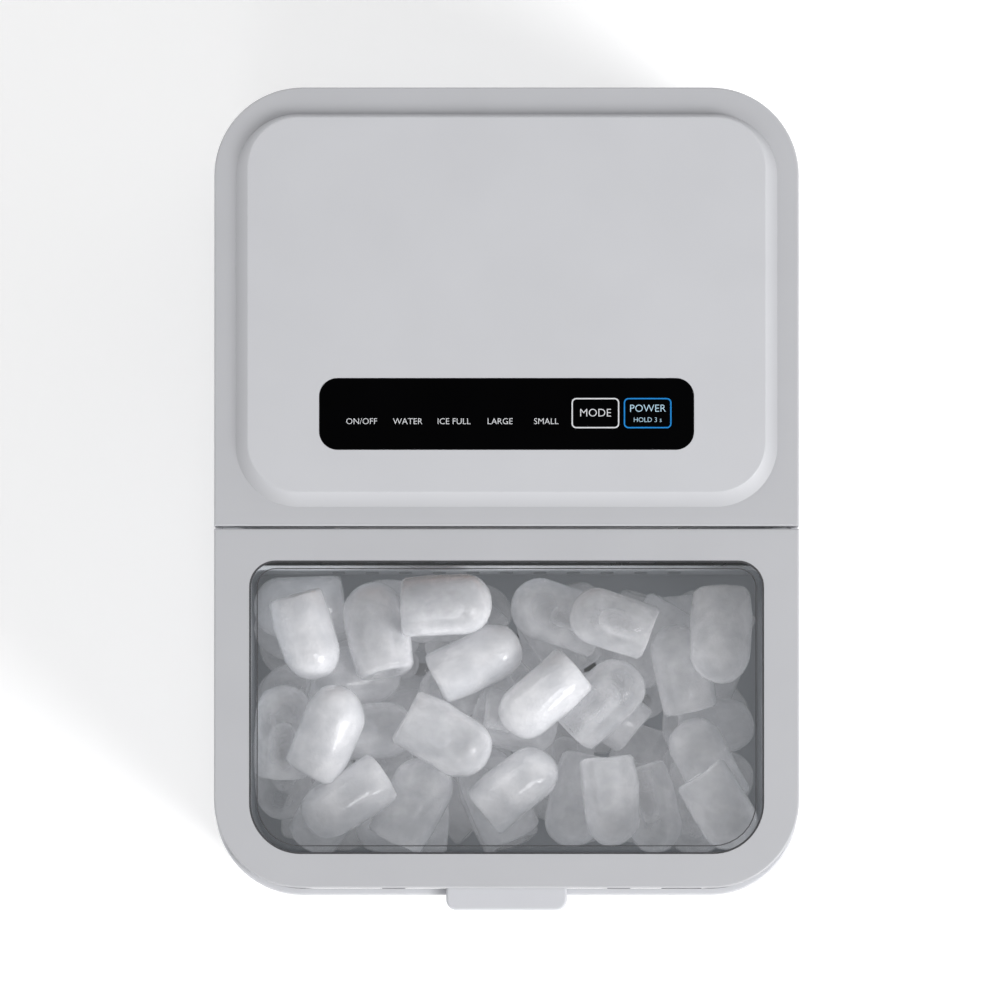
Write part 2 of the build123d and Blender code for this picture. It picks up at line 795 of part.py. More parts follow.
with BuildPart() as tank_insulation:
    with BuildSketch(Plane.XY.offset(insulation_bottom)):
        outline(
            insulation_half, inner_front + fit_gap, reservoir_rear + 4, inner_radius - fit_gap, 2
        )
    extrude(amount=flange_bottom - insulation_bottom)
    with BuildSketch(Plane.XY.offset(tank_shelf - insulation_floor)):
        outline(insulation_half, reservoir_rear - 20, insulation_rear, 0, 2)
    extrude(amount=flange_bottom - tank_shelf + insulation_floor)
    with BuildSketch(Plane.XY.offset(tank_floor)):
        outline(
            tank_half + fit_gap,
            tank_front - fit_gap,
            reservoir_rear + fit_gap,
            tank_radius + fit_gap,
            6 + fit_gap,
        )
    extrude(amount=flange_bottom - tank_floor, mode=Mode.SUBTRACT)
    with BuildSketch(Plane.XY.offset(tank_shelf)):
        outline(tank_half + fit_gap, reservoir_rear - 20, tank_rear + fit_gap, 0, 8 + fit_gap)
    extrude(amount=flange_bottom - tank_shelf, mode=Mode.SUBTRACT)
    # way through for the drain pipe
    with BuildSketch(Plane.XY.offset(insulation_bottom)):
        with Locations((drain_x, drain_y)):
            Circle(drain_outer + fit_gap)
    extrude(amount=insulation_floor, mode=Mode.SUBTRACT)
keep(tank_insulation, "tank_insulation")

# The spout ends behind the front wall, so that its cap sits flush in the wall's hole.
cap_head = 3.5
cap_stem = 9.0
drain_end_y = body_front_y + cap_head
with BuildPart() as drain_pipe:
    tube_along(
        [
            (drain_x, drain_y, tank_floor),
            (drain_x, drain_y, drain_z),
            (drain_x, drain_end_y, drain_z),
        ],
        [12],
        drain_outer,
        drain_bore,
    )
keep(drain_pipe, "drain_pipe")

with BuildPart() as drain_cap:
    with BuildSketch(Plane.XZ.offset(-drain_end_y)):
        with Locations((drain_x, drain_z)):
            Circle(drain_cap_radius)
    extrude(amount=cap_head)
    fillet(drain_cap.edges().group_by(Axis.Y)[0], 1.0)
    with BuildSketch(Plane.XZ.offset(-drain_end_y)):
        with Locations((drain_x, drain_z)):
            Circle(drain_bore - touch_gap)
    extrude(amount=-cap_stem)
keep(drain_cap, "drain_cap")

slot_length = 13.0
slot_width = 5.0
with BuildPart() as ice_basket:
    with BuildSketch(Plane.XY.offset(basket_floor)):
        outline(basket_half, basket_front, basket_rear, basket_radius, 6)
    extrude(amount=basket_height)
    fillet(ice_basket.edges().group_by(Axis.Z)[0], 3)
    with BuildSketch(Plane.XY.offset(basket_floor + basket_wall)):
        outline(
            basket_half - basket_wall,
            basket_front + basket_wall,
            basket_rear - basket_wall,
            basket_radius - basket_wall,
            6 - basket_wall,
        )
    extrude(amount=basket_height, mode=Mode.SUBTRACT)
    # drain slots in the floor
    with BuildSketch(Plane.XY.offset(basket_floor)):
        with Locations((0, (basket_front + basket_rear) / 2)):
            with GridLocations(slot_length + 7, slot_width + 7, 8, 6):
                SlotOverall(slot_length, slot_width)
    extrude(amount=basket_wall, mode=Mode.SUBTRACT)
    # upright slots in the front and rear walls
    with BuildSketch(Plane.XZ.offset(-basket_rear)):
        with Locations((0, basket_floor + basket_height * 0.42)):
            with GridLocations(slot_length, 1, 11, 1):
                SlotOverall(basket_height * 0.45, slot_width, rotation=90)
    extrude(amount=basket_rear - basket_front, mode=Mode.SUBTRACT)
keep(ice_basket, "ice_basket")

# ---------------------------------------------------------------------------------------------
# Ice making: tilting tray, its motor, evaporator and carrier, sensors
# ---------------------------------------------------------------------------------------------

tray_half = tray_width / 2
tray_rear_y = pivot_y - 2 * tray_wall
tray_bottom = pivot_z - tray_height
tray_ear = 9.0
journal_end = tray_half + cheek_gap + cheek_thickness + 2.5
cheek_inner = tray_half + cheek_gap
cheek_outer = cheek_inner + cheek_thickness
motor_inner = cheek_outer + 0.5

with BuildPart() as water_tray:
    with BuildSketch(Plane.XY.offset(tray_bottom)):
        with Locations((0, (tray_front_y + tray_rear_y) / 2)):
            Rectangle(tray_width, tray_rear_y - tray_front_y)
    extrude(amount=tray_height)
    fillet(water_tray.edges().group_by(Axis.Z)[0].filter_by(Axis.X), 6)
    with BuildSketch(Plane.XY.offset(tray_bottom + tray_wall)):
        with Locations((0, (tray_front_y + tray_rear_y) / 2)):
            Rectangle(tray_width - 2 * tray_wall, tray_rear_y - tray_front_y - 2 * tray_wall)
    extrude(amount=tray_height, mode=Mode.SUBTRACT)
    # ears at the ends, with the journals that the tray turns on
    for side in (-1, 1):
        with BuildSketch(Plane.YZ.offset(side * (tray_half - tray_wall))):
            with Locations((pivot_y, pivot_z)):
                Circle(tray_ear / 2 + 0.5)
            with Locations((pivot_y - tray_ear, pivot_z - tray_ear / 2)):
                Rectangle(2 * tray_ear, tray_ear + 1)
        extrude(amount=side * tray_wall)
        with BuildSketch(Plane.YZ.offset(side * tray_half)):
            with Locations((pivot_y, pivot_z)):
                Circle(tray_journal_radius)
        extrude(amount=side * (cheek_gap + cheek_thickness))
    # blind bore for the motor's shaft
    with BuildSketch(Plane.YZ.offset(tray_half - tray_wall)):
        with Locations((pivot_y, pivot_z)):
            Circle(motor_shaft_radius + touch_gap)
    extrude(amount=journal_end, mode=Mode.SUBTRACT)
keep(water_tray, "water_tray")

tooth_width = 10.0
tooth_pitch = 15.0
tooth_count = 8
with BuildPart() as ice_shovel:
    with BuildSketch(Plane.XZ.offset(-tray_front_y)):
        with Locations((0, tray_bottom + 10)):
            Rectangle(tray_width - 6, 12)
        with Locations((0, tray_bottom - shovel_reach / 2 + 3)):
            with GridLocations(tooth_pitch, 1, tooth_count, 1):
                Rectangle(tooth_width, shovel_reach + 6)
    extrude(amount=shovel_thickness)
    fillet(ice_shovel.edges().filter_by(Axis.Y).group_by(Axis.Z)[0], 2)
keep(ice_shovel, "ice_shovel")

shaft_grip = 9.0  # length inside the motor
with BuildPart() as motor_shaft:
    with BuildSketch(Plane.YZ.offset(tray_half - tray_wall)):
        with Locations((pivot_y, pivot_z)):
            Circle(motor_shaft_radius)
    extrude(amount=motor_inner + shaft_grip - tray_half + tray_wall)
keep(motor_shaft, "motor_shaft")

with BuildPart() as tray_motor:
    with BuildSketch(Plane.YZ.offset(motor_inner)):
        with Locations((pivot_y, pivot_z)):
            Circle(motor_radius)
    extrude(amount=motor_thickness)
    fillet(tray_motor.edges().group_by(Axis.X)[-1], 1.5)
    with BuildSketch(Plane.YZ.offset(cheek_outer)):
        with Locations((pivot_y, pivot_z)):
            Circle(9)
    extrude(amount=motor_inner - cheek_outer)
    with BuildSketch(Plane.YZ.offset(cheek_outer)):
        with Locations((pivot_y, pivot_z)):
            Circle(motor_shaft_radius + touch_gap)
    extrude(amount=motor_inner - cheek_outer + shaft_grip + 1, mode=Mode.SUBTRACT)
keep(tray_motor, "tray_motor")

carrier_top = tank_rim + 2.5
carrier_half = insulation_half - 3
carrier_front = -5.0
carrier_rear = 50.0
row_ys = [pivot_y - offset for offset in finger_row_offsets]
front_row = [(i * finger_pitch - 2 * finger_pitch, row_ys[1]) for i in range(5)]
rear_row = [(i * finger_pitch - 1.5 * finger_pitch, row_ys[0]) for i in range(4)]
finger_top = header_z - header_radius + 1
header_flat = header_z + header_radius - 1
header_end_x = -2.4 * finger_pitch
header_turn_x = 2.4 * finger_pitch
carrier_posts = [(x, y) for x in (-1.6 * finger_pitch, 1.6 * finger_pitch) for y in row_ys]
sensor_x = tank_inner_half - 4.5
sensor_y = carrier_front + 7

with BuildPart() as evaporator_carrier:
    with BuildSketch(Plane.XY.offset(tank_rim)):
        with Locations((0, (carrier_front + carrier_rear) / 2)):
            Rectangle(2 * carrier_half, carrier_rear - carrier_front)
    extrude(amount=carrier_top - tank_rim)
    with BuildSketch(Plane.XY.offset(header_flat)):
        with Locations(*carrier_posts):
            Circle(4)
    extrude(amount=tank_rim - header_flat)
    for side in (-1, 1):
        with BuildSketch(Plane.YZ.offset(side * cheek_inner)):
            with Locations((pivot_y, (pivot_z + tank_rim) / 2)):
                Rectangle(22, tank_rim - pivot_z)
            with Locations((pivot_y, pivot_z)):
                Circle(11)
                Circle(tray_journal_radius + touch_gap, mode=Mode.SUBTRACT)
        extrude(amount=side * cheek_thickness)
keep(evaporator_carrier, "evaporator_carrier")

with BuildPart() as evaporator_header:
    tube_along(
        [
            (header_end_x, row_ys[1], header_z),
            (header_turn_x, row_ys[1], header_z),
            (header_turn_x, row_ys[0], header_z),
            (header_end_x, row_ys[0], header_z),
        ],
        [10, 10],
        header_radius,
    )
    with BuildSketch(Plane.XY.offset(header_flat)):
        Rectangle(body_width, body_depth)
    extrude(amount=4, mode=Mode.SUBTRACT)
    with BuildSketch(Plane.XY.offset(finger_top)):
        Rectangle(body_width, body_depth)
    extrude(amount=-4, mode=Mode.SUBTRACT)
keep(evaporator_header, "evaporator_header")

with BuildPart() as evaporator_fingers:
    with BuildSketch(Plane.XY.offset(finger_tip)):
        with Locations(*front_row, *rear_row):
            Circle(finger_radius)
    extrude(amount=finger_top - finger_tip)
    fillet(evaporator_fingers.edges().group_by(Axis.Z)[0], finger_radius - 0.3)
keep(evaporator_fingers, "evaporator_fingers")

with BuildPart() as ice_sensors:
    for side in (-1, 1):
        with BuildSketch(Plane.XY.offset(tank_rim)):
            with Locations((side * sensor_x, sensor_y)):
                Rectangle(8, 10)
        extrude(amount=-20)
        with BuildSketch(Plane.XZ.offset(-sensor_y + 5)):
            with Locations((side * sensor_x, tank_rim - 13)):
                Circle(2.5)
        extrude(amount=3)
keep(ice_sensors, "ice_sensors")

# ---------------------------------------------------------------------------------------------
# Water: pump, hose and float
# ---------------------------------------------------------------------------------------------

reservoir_floor = tank_floor + tank_wall
pump_x = 60.0
pump_y = -20.0
pump_radius = 19.0
volute_height = 16.0
pump_motor_radius = 15.0
pump_motor_height = 24.0
impeller_radius = 12.0
impeller_height = 8.0
impeller_gap = 1.5
pump_foot = 4.0
pump_shaft_radius = 1.5
spigot_x = pump_x + pump_radius + 5
hose_outer = 4.5
hose_bore = 3.0
spigot_top = reservoir_floor + pump_foot + volute_height + 10
hose_top = 274.0
hose_end = pivot_z + 6
hose_spout_x = 42.0
cavity_bottom = reservoir_floor + pump_foot + 2
cavity_top = cavity_bottom + impeller_height + 2 * impeller_gap

with BuildPart() as water_pump:
    with BuildSketch(Plane.XY.offset(reservoir_floor + pump_foot)):
        with Locations((pump_x, pump_y)):
            Circle(pump_radius)
        with Locations(((pump_x + spigot_x) / 2, pump_y)):
            Rectangle(spigot_x - pump_x, 2 * hose_outer)
        with Locations((spigot_x, pump_y)):
            Circle(hose_outer)
    extrude(amount=volute_height)
    with BuildSketch(Plane.XY.offset(reservoir_floor + pump_foot + volute_height)):
        with Locations((pump_x, pump_y)):
            Circle(pump_motor_radius)
    extrude(amount=pump_motor_height)
    fillet(water_pump.edges().group_by(Axis.Z)[-1], 2)
    with BuildSketch(Plane.XY.offset(reservoir_floor)):
        with Locations((pump_x, pump_y)):
            with PolarLocations(pump_radius - 4, 3):
                Circle(3)
    extrude(amount=pump_foot)
    with BuildSketch(Plane.XY.offset(cavity_bottom)):
        with Locations((pump_x, pump_y)):
            Circle(impeller_radius + impeller_gap)
    extrude(amount=cavity_top - cavity_bottom, mode=Mode.SUBTRACT)
    with BuildSketch(Plane.XY.offset(reservoir_floor + pump_foot)):
        with Locations((pump_x, pump_y)):
            Circle(5)
    extrude(amount=cavity_bottom - reservoir_floor - pump_foot, mode=Mode.SUBTRACT)
    with BuildSketch(Plane.XY.offset(cavity_top)):
        with Locations((pump_x, pump_y)):
            Circle(pump_shaft_radius + touch_gap)
    extrude(amount=13, mode=Mode.SUBTRACT)
    with BuildSketch(Plane.XY.offset(reservoir_floor + pump_foot + volute_height)):
        with Locations((spigot_x, pump_y)):
            Circle(hose_outer)
            Circle(hose_bore, mode=Mode.SUBTRACT)
    extrude(amount=spigot_top - reservoir_floor - pump_foot - volute_height)
keep(water_pump, "water_pump")

with BuildPart() as pump_impeller:
    with BuildSketch(Plane.XY.offset(cavity_bottom + impeller_gap)):
        with Locations((pump_x, pump_y)):
            Circle(impeller_radius)
    extrude(amount=2)
    with BuildSketch(Plane.XY.offset(cavity_bottom + impeller_gap)):
        with Locations((pump_x, pump_y)):
            Circle(4)
            with PolarLocations(impeller_radius / 2 + 1, 6):
                Rectangle(impeller_radius - 2, 1.6)
    extrude(amount=impeller_height)
    with BuildSketch(Plane.XY.offset(cavity_bottom + impeller_gap)):
        with Locations((pump_x, pump_y)):
            Circle(pump_shaft_radius)
    extrude(amount=impeller_height + impeller_gap + 11)
keep(pump_impeller, "pump_impeller")

with BuildPart() as fill_hose:
    tube_along(
        [
            (spigot_x, pump_y, spigot_top),
            (spigot_x, pump_y, hose_top),
            (hose_spout_x, pump_y, hose_top),
            (hose_spout_x, pump_y, hose_end),
        ],
        [12, 12],
        hose_outer,
        hose_bore,
    )
keep(fill_hose, "fill_hose")

float_x = -62.0
float_y = -22.0
float_stem_radius = 3.0
float_radius = 12.0
float_height = 14.0
float_low = 12.0
float_travel = 22.0
with BuildPart() as float_stem:
    with BuildSketch(Plane.XY.offset(reservoir_floor)):
        with Locations((float_x, float_y)):
            Circle(8)
    extrude(amount=float_low)
    with BuildSketch(Plane.XY.offset(reservoir_floor + float_low)):
        with Locations((float_x, float_y)):
            Circle(float_stem_radius)
    extrude(amount=float_height + float_travel + 2)
    with BuildSketch(Plane.XY.offset(reservoir_floor + float_low + float_height + float_travel + 1)):
        with Locations((float_x, float_y)):
            Circle(6)
    extrude(amount=2)
keep(float_stem, "float_stem")

with BuildPart() as water_float:
    with BuildSketch(Plane.XY.offset(reservoir_floor + float_low)):
        with Locations((float_x, float_y)):
            Circle(float_radius)
    extrude(amount=float_height)
    fillet(water_float.edges(), 1.5)
    with BuildSketch(Plane.XY.offset(reservoir_floor + float_low)):
        with Locations((float_x, float_y)):
            Circle(float_stem_radius + 0.4)
    extrude(amount=float_height, mode=Mode.SUBTRACT)
keep(water_float, "water_float")

# ---------------------------------------------------------------------------------------------
# Cooling: compressor, condenser, fan, valve, dryer and lines
# ---------------------------------------------------------------------------------------------

foot_plate = 4.0
grommet_offset = 42.0
stub_top = compressor_top + 4
suction_stub = (compressor_x - 25, compressor_y + 20)
discharge_stub = (compressor_x - 15, compressor_y - 28)
gas_stub = (compressor_x + 15, compressor_y + 30)
plate_bottom = compressor_floor - foot_plate

with BuildPart() as compressor:
    with BuildSketch(Plane.XY.offset(compressor_floor)):
        with Locations((compressor_x, compressor_y)):
            Circle(compressor_radius)
    extrude(amount=compressor_top - compressor_floor)
    fillet(compressor.edges().group_by(Axis.Z)[-1], 16)
    with BuildSketch(Plane.XY.offset(compressor_floor + 52)):
        with Locations((compressor_x, compressor_y)):
            Circle(compressor_radius + 1.2)
    extrude(amount=4)
    with BuildSketch(Plane.XY.offset(plate_bottom)):
        with Locations((compressor_x, compressor_y)):
            RectangleRounded(2 * grommet_offset + 14, 2 * grommet_offset + 14, 8)
    extrude(amount=foot_plate)
    for x, y in (suction_stub, discharge_stub, gas_stub):
        with BuildSketch(Plane.XY.offset(compressor_top - 20)):
            with Locations((x, y)):
                Circle(5)
        extrude(amount=stub_top - compressor_top + 20)
keep(compressor, "compressor")

with BuildPart() as compressor_grommets:
    with BuildSketch(Plane.XY.offset(base_top)):
        with Locations((compressor_x, compressor_y)):
            with GridLocations(2 * grommet_offset, 2 * grommet_offset, 2, 2):
                Circle(grommet_radius)
    extrude(amount=plate_bottom - base_top)
keep(compressor_grommets, "compressor_grommets")

terminal_width = 9.0
terminal_depth = 30.0
terminal_bottom = 38.0
terminal_top = 70.0
terminal_x = compressor_x - compressor_radius
with BuildPart() as terminal_cover:
    with BuildSketch(Plane.XY.offset(terminal_bottom)):
        with Locations((terminal_x - terminal_width / 2 + 1, compressor_y)):
            Rectangle(terminal_width + 4, terminal_depth)
        with Locations((compressor_x, compressor_y)):
            Circle(compressor_radius, mode=Mode.SUBTRACT)
    extrude(amount=terminal_top - terminal_bottom)
keep(terminal_cover, "terminal_cover")

condenser_rear = condenser_front + condenser_depth
condenser_bottom = 18.0
condenser_top = condenser_bottom + condenser_height
pass_zs = [condenser_top - 18 - i * 26.0 for i in range(4)]
turn_front_y = condenser_front - 12
turn_rear_y = condenser_rear + 11
dryer_x = -25.0
dryer_y = 22.0
dryer_bottom = 50.0
dryer_top = 120.0
line_front_y = condenser_front - 10
line_z = 141.0  # run under the tank's shelf

with BuildPart() as condenser_tube:
    tube_along(
        [
            (condenser_x, line_front_y, line_z - 5),
            (condenser_x, line_front_y, pass_zs[0]),
            (condenser_x, turn_rear_y, pass_zs[0]),
            (condenser_x, turn_rear_y, pass_zs[1]),
            (condenser_x, turn_front_y, pass_zs[1]),
            (condenser_x, turn_front_y, pass_zs[2]),
            (condenser_x, turn_rear_y, pass_zs[2]),
            (condenser_x, turn_rear_y, pass_zs[3]),
            (condenser_x, dryer_y, pass_zs[3]),
            (dryer_x, dryer_y, pass_zs[3]),
            (dryer_x, dryer_y, dryer_bottom),
        ],
        [9, 10, 10, 10, 10, 10, 10, 5.5, 6],
        condenser_tube_radius,
    )
keep(condenser_tube, "condenser_tube")

fin_pitch = (condenser_depth - fin_thickness) / (fin_count - 1)
with BuildPart() as condenser_fins:
    with BuildSketch(Plane.XZ.offset(-condenser_front)) as fin:
        with Locations((condenser_x, (condenser_bottom + condenser_top) / 2)):
            Rectangle(condenser_width, condenser_height)
        with Locations(*[(condenser_x, z) for z in pass_zs]):
            Circle(condenser_tube_radius + touch_gap, mode=Mode.SUBTRACT)
    for i in range(fin_count):
        extrude(fin.sketch.moved(Location((0, i * fin_pitch, 0))), amount=-fin_thickness)
keep(condenser_fins, "condenser_fins")

shroud_front = condenser_front - 1
shroud_rear = condenser_rear + 4
shroud_inner_x = condenser_x + condenser_width / 2 + 0.5
shroud_outer_x = shroud_inner_x + 12
shroud_top = condenser_top + 2
with BuildPart() as fan_shroud:
    with BuildSketch(Plane.YZ.offset(shroud_inner_x)):
        with Locations(((shroud_front + shroud_rear) / 2, (base_top + shroud_top) / 2)):
            Rectangle(shroud_rear - shroud_front, shroud_top - base_top)
        with Locations((fan_axis_y, fan_axis_z)):
            Circle(fan_radius + fan_clearance, mode=Mode.SUBTRACT)
    extrude(amount=shroud_outer_x - shroud_inner_x)
    # shelf over the condenser and sill beneath it
    condenser_outer_x = condenser_x - condenser_width / 2
    shelf_x = (condenser_outer_x + shroud_inner_x) / 2
    shelf_width = shroud_inner_x - condenser_outer_x
    with BuildSketch(Plane.XY.offset(condenser_top)):
        with Locations((shelf_x, (shroud_front + shroud_rear) / 2)):
            Rectangle(shelf_width, shroud_rear - shroud_front)
    extrude(amount=shroud_top - condenser_top)
    with BuildSketch(Plane.XY.offset(base_top)):
        with Locations((shelf_x, (shroud_front + shroud_rear) / 2)):
            Rectangle(shelf_width, shroud_rear - shroud_front)
    extrude(amount=condenser_bottom - base_top)
keep(fan_shroud, "fan_shroud")

fan_hub_radius = 15.0
blade_pitch = 35.0
fan_plane_x = shroud_inner_x + 3
fan_thickness = 9.0
fan_motor_x = shroud_outer_x + 6
fan_motor_length = 24.0
fan_shaft_radius = 2.0
with BuildPart() as fan_rotor:
    with BuildSketch(Plane.YZ.offset(fan_plane_x)):
        with Locations((fan_axis_y, fan_axis_z)):
            Circle(fan_hub_radius)
    extrude(amount=fan_thickness)
    for i in range(fan_blades):
        turn = radians(i * 360 / fan_blades)
        outward = Vector(0, cos(turn), sin(turn))
        around = Vector(0, -sin(turn), cos(turn))
        blade_plane = Plane(
            origin=(fan_plane_x + fan_thickness / 2, fan_axis_y, fan_axis_z),
            x_dir=outward,
            z_dir=Vector(1, 0, 0) * cos(radians(blade_pitch)) - around * sin(radians(blade_pitch)),
        )
        with BuildSketch(blade_plane):
            with Locations((fan_hub_radius + (fan_radius - fan_hub_radius) / 2 - 2, 0)):
                RectangleRounded(fan_radius - fan_hub_radius, 15, 5)
        extrude(amount=0.8, both=True)
    with BuildSketch(Plane.YZ.offset(fan_plane_x + fan_thickness)):
        with Locations((fan_axis_y, fan_axis_z)):
            Circle(fan_shaft_radius)
    extrude(amount=fan_motor_x - fan_plane_x - fan_thickness + 14)
keep(fan_rotor, "fan_rotor")

with BuildPart() as fan_motor:
    with BuildSketch(Plane.YZ.offset(fan_motor_x)):
        with Locations((fan_axis_y, fan_axis_z)):
            Circle(fan_motor_radius)
    extrude(amount=fan_motor_length)
    fillet(fan_motor.edges(), 2)
    with BuildSketch(Plane.XY.offset(base_top)):
        with Locations((fan_motor_x + fan_motor_length / 2, fan_axis_y)):
            Rectangle(14, 10)
    extrude(amount=fan_axis_z - base_top)
    with BuildSketch(Plane.XY.offset(base_top)):
        with Locations((fan_motor_x + fan_motor_length / 2, fan_axis_y)):
            Rectangle(18, 30)
    extrude(amount=3)
    with BuildSketch(Plane.YZ.offset(fan_motor_x)):
        with Locations((fan_axis_y, fan_axis_z)):
            Circle(fan_shaft_radius + touch_gap)
    extrude(amount=15, mode=Mode.SUBTRACT)
keep(fan_motor, "fan_motor")

dryer_radius = 9.0
with BuildPart() as filter_dryer:
    with BuildSketch(Plane.XY.offset(dryer_bottom)):
        with Locations((dryer_x, dryer_y)):
            Circle(4.5)
    extrude(amount=dryer_top - dryer_bottom)
    with BuildSketch(Plane.XY.offset(dryer_bottom + 7)):
        with Locations((dryer_x, dryer_y)):
            Circle(dryer_radius)
    extrude(amount=dryer_top - dryer_bottom - 14)
    fillet(filter_dryer.edges().filter_by(GeomType.CIRCLE).filter_by(
        lambda edge: abs(edge.radius - dryer_radius) < 0.01), 4)
keep(filter_dryer, "filter_dryer")

# Copper lines rise behind the tank, pass over its rear wall and come down to the evaporator.
valve_x = gas_stub[0]
valve_y = gas_stub[1] + 3
valve_bottom = 205.0
valve_top = 240.0
suction_x = -(cheek_outer + 14.0)
gas_x = -(cheek_outer + 7.5)
capillary_x = -(cheek_outer + 2.8)
line_up_y = 64.0
gas_hop = 14.0  # lifts the hot gas line over the suction line
over_top = 300.0
suction_drop_y = suction_stub[1]

with BuildPart() as discharge_line:
    tube_along(
        [
            (discharge_stub[0], discharge_stub[1], stub_top),
            (discharge_stub[0], discharge_stub[1], stub_top + 5.5),
            (condenser_x, discharge_stub[1], stub_top + 5.5),
            (condenser_x, line_front_y, stub_top + 5.5),
            (condenser_x, line_front_y, line_z - 5),
        ],
        [5, 12, 5],
        gas_radius,
    )
keep(discharge_line, "discharge_line")

with BuildPart() as suction_line:
    tube_along(
        [
            (header_end_x, row_ys[0], header_z),
            (suction_x, row_ys[0], header_z),
            (suction_x, line_up_y, header_z),
            (suction_x, line_up_y, over_top - 2),
            (suction_x, suction_drop_y, over_top - 2),
            (suction_x, suction_drop_y, 160),
            (suction_stub[0], suction_drop_y, 160),
            (suction_stub[0], suction_drop_y, stub_top),
        ],
        [12, 12, 12, 12, 12, 12],
        suction_radius,
    )
keep(suction_line, "suction_line")

with BuildPart() as hot_gas_line:
    tube_along(
        [
            (header_end_x, row_ys[1], header_z),
            (gas_x, row_ys[1], header_z),
            (gas_x, row_ys[1], header_z + gas_hop),
            (gas_x, line_up_y - 8, header_z + gas_hop),
            (gas_x, line_up_y - 8, over_top),
            (gas_x, valve_y, over_top),
            (valve_x, valve_y, over_top),
            (valve_x, valve_y, valve_top),
        ],
        [6, 6, 10, 10, 10, 10],
        gas_radius,
    )
    tube_along(
        [
            (valve_x, valve_y, valve_bottom),
            (valve_x, valve_y, stub_top + 20),
            (gas_stub[0], gas_stub[1], stub_top + 10),
            (gas_stub[0], gas_stub[1], stub_top),
        ],
        [6, 6],
        gas_radius,
    )
keep(hot_gas_line, "hot_gas_line")

with BuildPart() as gas_valve:
    with BuildSketch(Plane.XY.offset(valve_bottom)):
        with Locations((valve_x, valve_y)):
            Circle(5)
    extrude(amount=valve_top - valve_bottom)
    with BuildSketch(Plane.XY.offset(valve_bottom + 6)):
        with Locations((valve_x, valve_y)):
            RectangleRounded(22, 24, 2)
    extrude(amount=valve_top - valve_bottom - 12)
    with BuildSketch(Plane.XY.offset(valve_bottom + 14)):
        with Locations((valve_x, (valve_y + insulation_rear + 1.5) / 2)):
            Rectangle(8, valve_y - insulation_rear - 1.5)
    extrude(amount=6)
keep(gas_valve, "gas_valve")

with BuildPart() as capillary:
    tube_along(
        [
            (dryer_x, dryer_y, dryer_top),
            (dryer_x, dryer_y, dryer_top + 9),
            (dryer_x, rear_y - 24, dryer_top + 9),
            (dryer_x, rear_y - 24, over_top - 6),
            (capillary_x, rear_y - 24, over_top - 6),
            (capillary_x, line_up_y - 4, over_top - 6),
            (capillary_x, line_up_y - 4, header_z + 12),
            (capillary_x, row_ys[1], header_z + 12),
            (header_end_x + 8, row_ys[1], header_z + 12),
            (header_end_x + 8, row_ys[1], header_flat),
        ],
        [6, 10, 10, 10, 8, 8, 6, 3],
        capillary_radius,
    )
keep(capillary, "capillary")

# ---------------------------------------------------------------------------------------------
# Frame behind the tank, electrics and leads
# ---------------------------------------------------------------------------------------------

frame_thickness = 1.5
frame_half = inner_half - 4.5
frame_bottom = 150.0
frame_top = flange_bottom
frame_leg = 8.0
frame_front = insulation_rear
frame_rear = frame_front + frame_thickness

with BuildPart() as rear_frame:
    with BuildSketch(Plane.XY.offset(frame_bottom)):
        with Locations((0, frame_front + frame_thickness / 2)):
            Rectangle(2 * frame_half, frame_thickness)
    extrude(amount=frame_top - frame_bottom)
    with BuildSketch(Plane.XZ.offset(-frame_rear)):
        with Locations((0, (frame_bottom + frame_top) / 2 - 40)):
            with GridLocations(60, 1, 3, 1):
                Rectangle(40, 26)
    extrude(amount=frame_thickness, mode=Mode.SUBTRACT)
    with BuildSketch(Plane.XY.offset(base_top)):
        with Locations((frame_half - frame_leg / 2, frame_front + 2)):
            Rectangle(frame_leg, 4)
    extrude(amount=frame_bottom - base_top)
    with BuildSketch(Plane.XY.offset(shroud_top)):
        with Locations((-frame_half + frame_leg, frame_front + 2)):
            Rectangle(2 * frame_leg, 4)
    extrude(amount=frame_bottom - shroud_top)
keep(rear_frame, "rear_frame")

case_left = -96.0
case_right = 6.0
case_bottom = 196.0
case_top = 276.0
case_depth = 15.0
case_wall = 2.0
case_y = frame_rear
board_lift = 4.0
case_x = (case_left + case_right) / 2
case_z = (case_bottom + case_top) / 2
case_width = case_right - case_left
case_height = case_top - case_bottom
with BuildPart() as board_case:
    with BuildSketch(Plane.XZ.offset(-case_y)):
        with Locations((case_x, case_z)):
            RectangleRounded(case_width, case_height, 4)
    extrude(amount=-case_depth)
    with BuildSketch(Plane.XZ.offset(-case_y - case_wall)):
        with Locations((case_x, case_z)):
            RectangleRounded(case_width - 2 * case_wall, case_height - 2 * case_wall, 2)
    extrude(amount=-case_depth, mode=Mode.SUBTRACT)
    with BuildSketch(Plane.XZ.offset(-case_y - case_wall)):
        with Locations((case_x, case_z)):
            with GridLocations(case_width - 16, case_height - 16, 2, 2):
                Circle(3)
    extrude(amount=-board_lift)
keep(board_case, "board_case")

board_y = case_y + case_wall + board_lift
with BuildPart() as power_board:
    with BuildSketch(Plane.XZ.offset(-board_y)):
        with Locations((case_x, case_z)):
            Rectangle(case_width - 8, case_height - 8)
    extrude(amount=-board_thickness)
keep(power_board, "power_board")

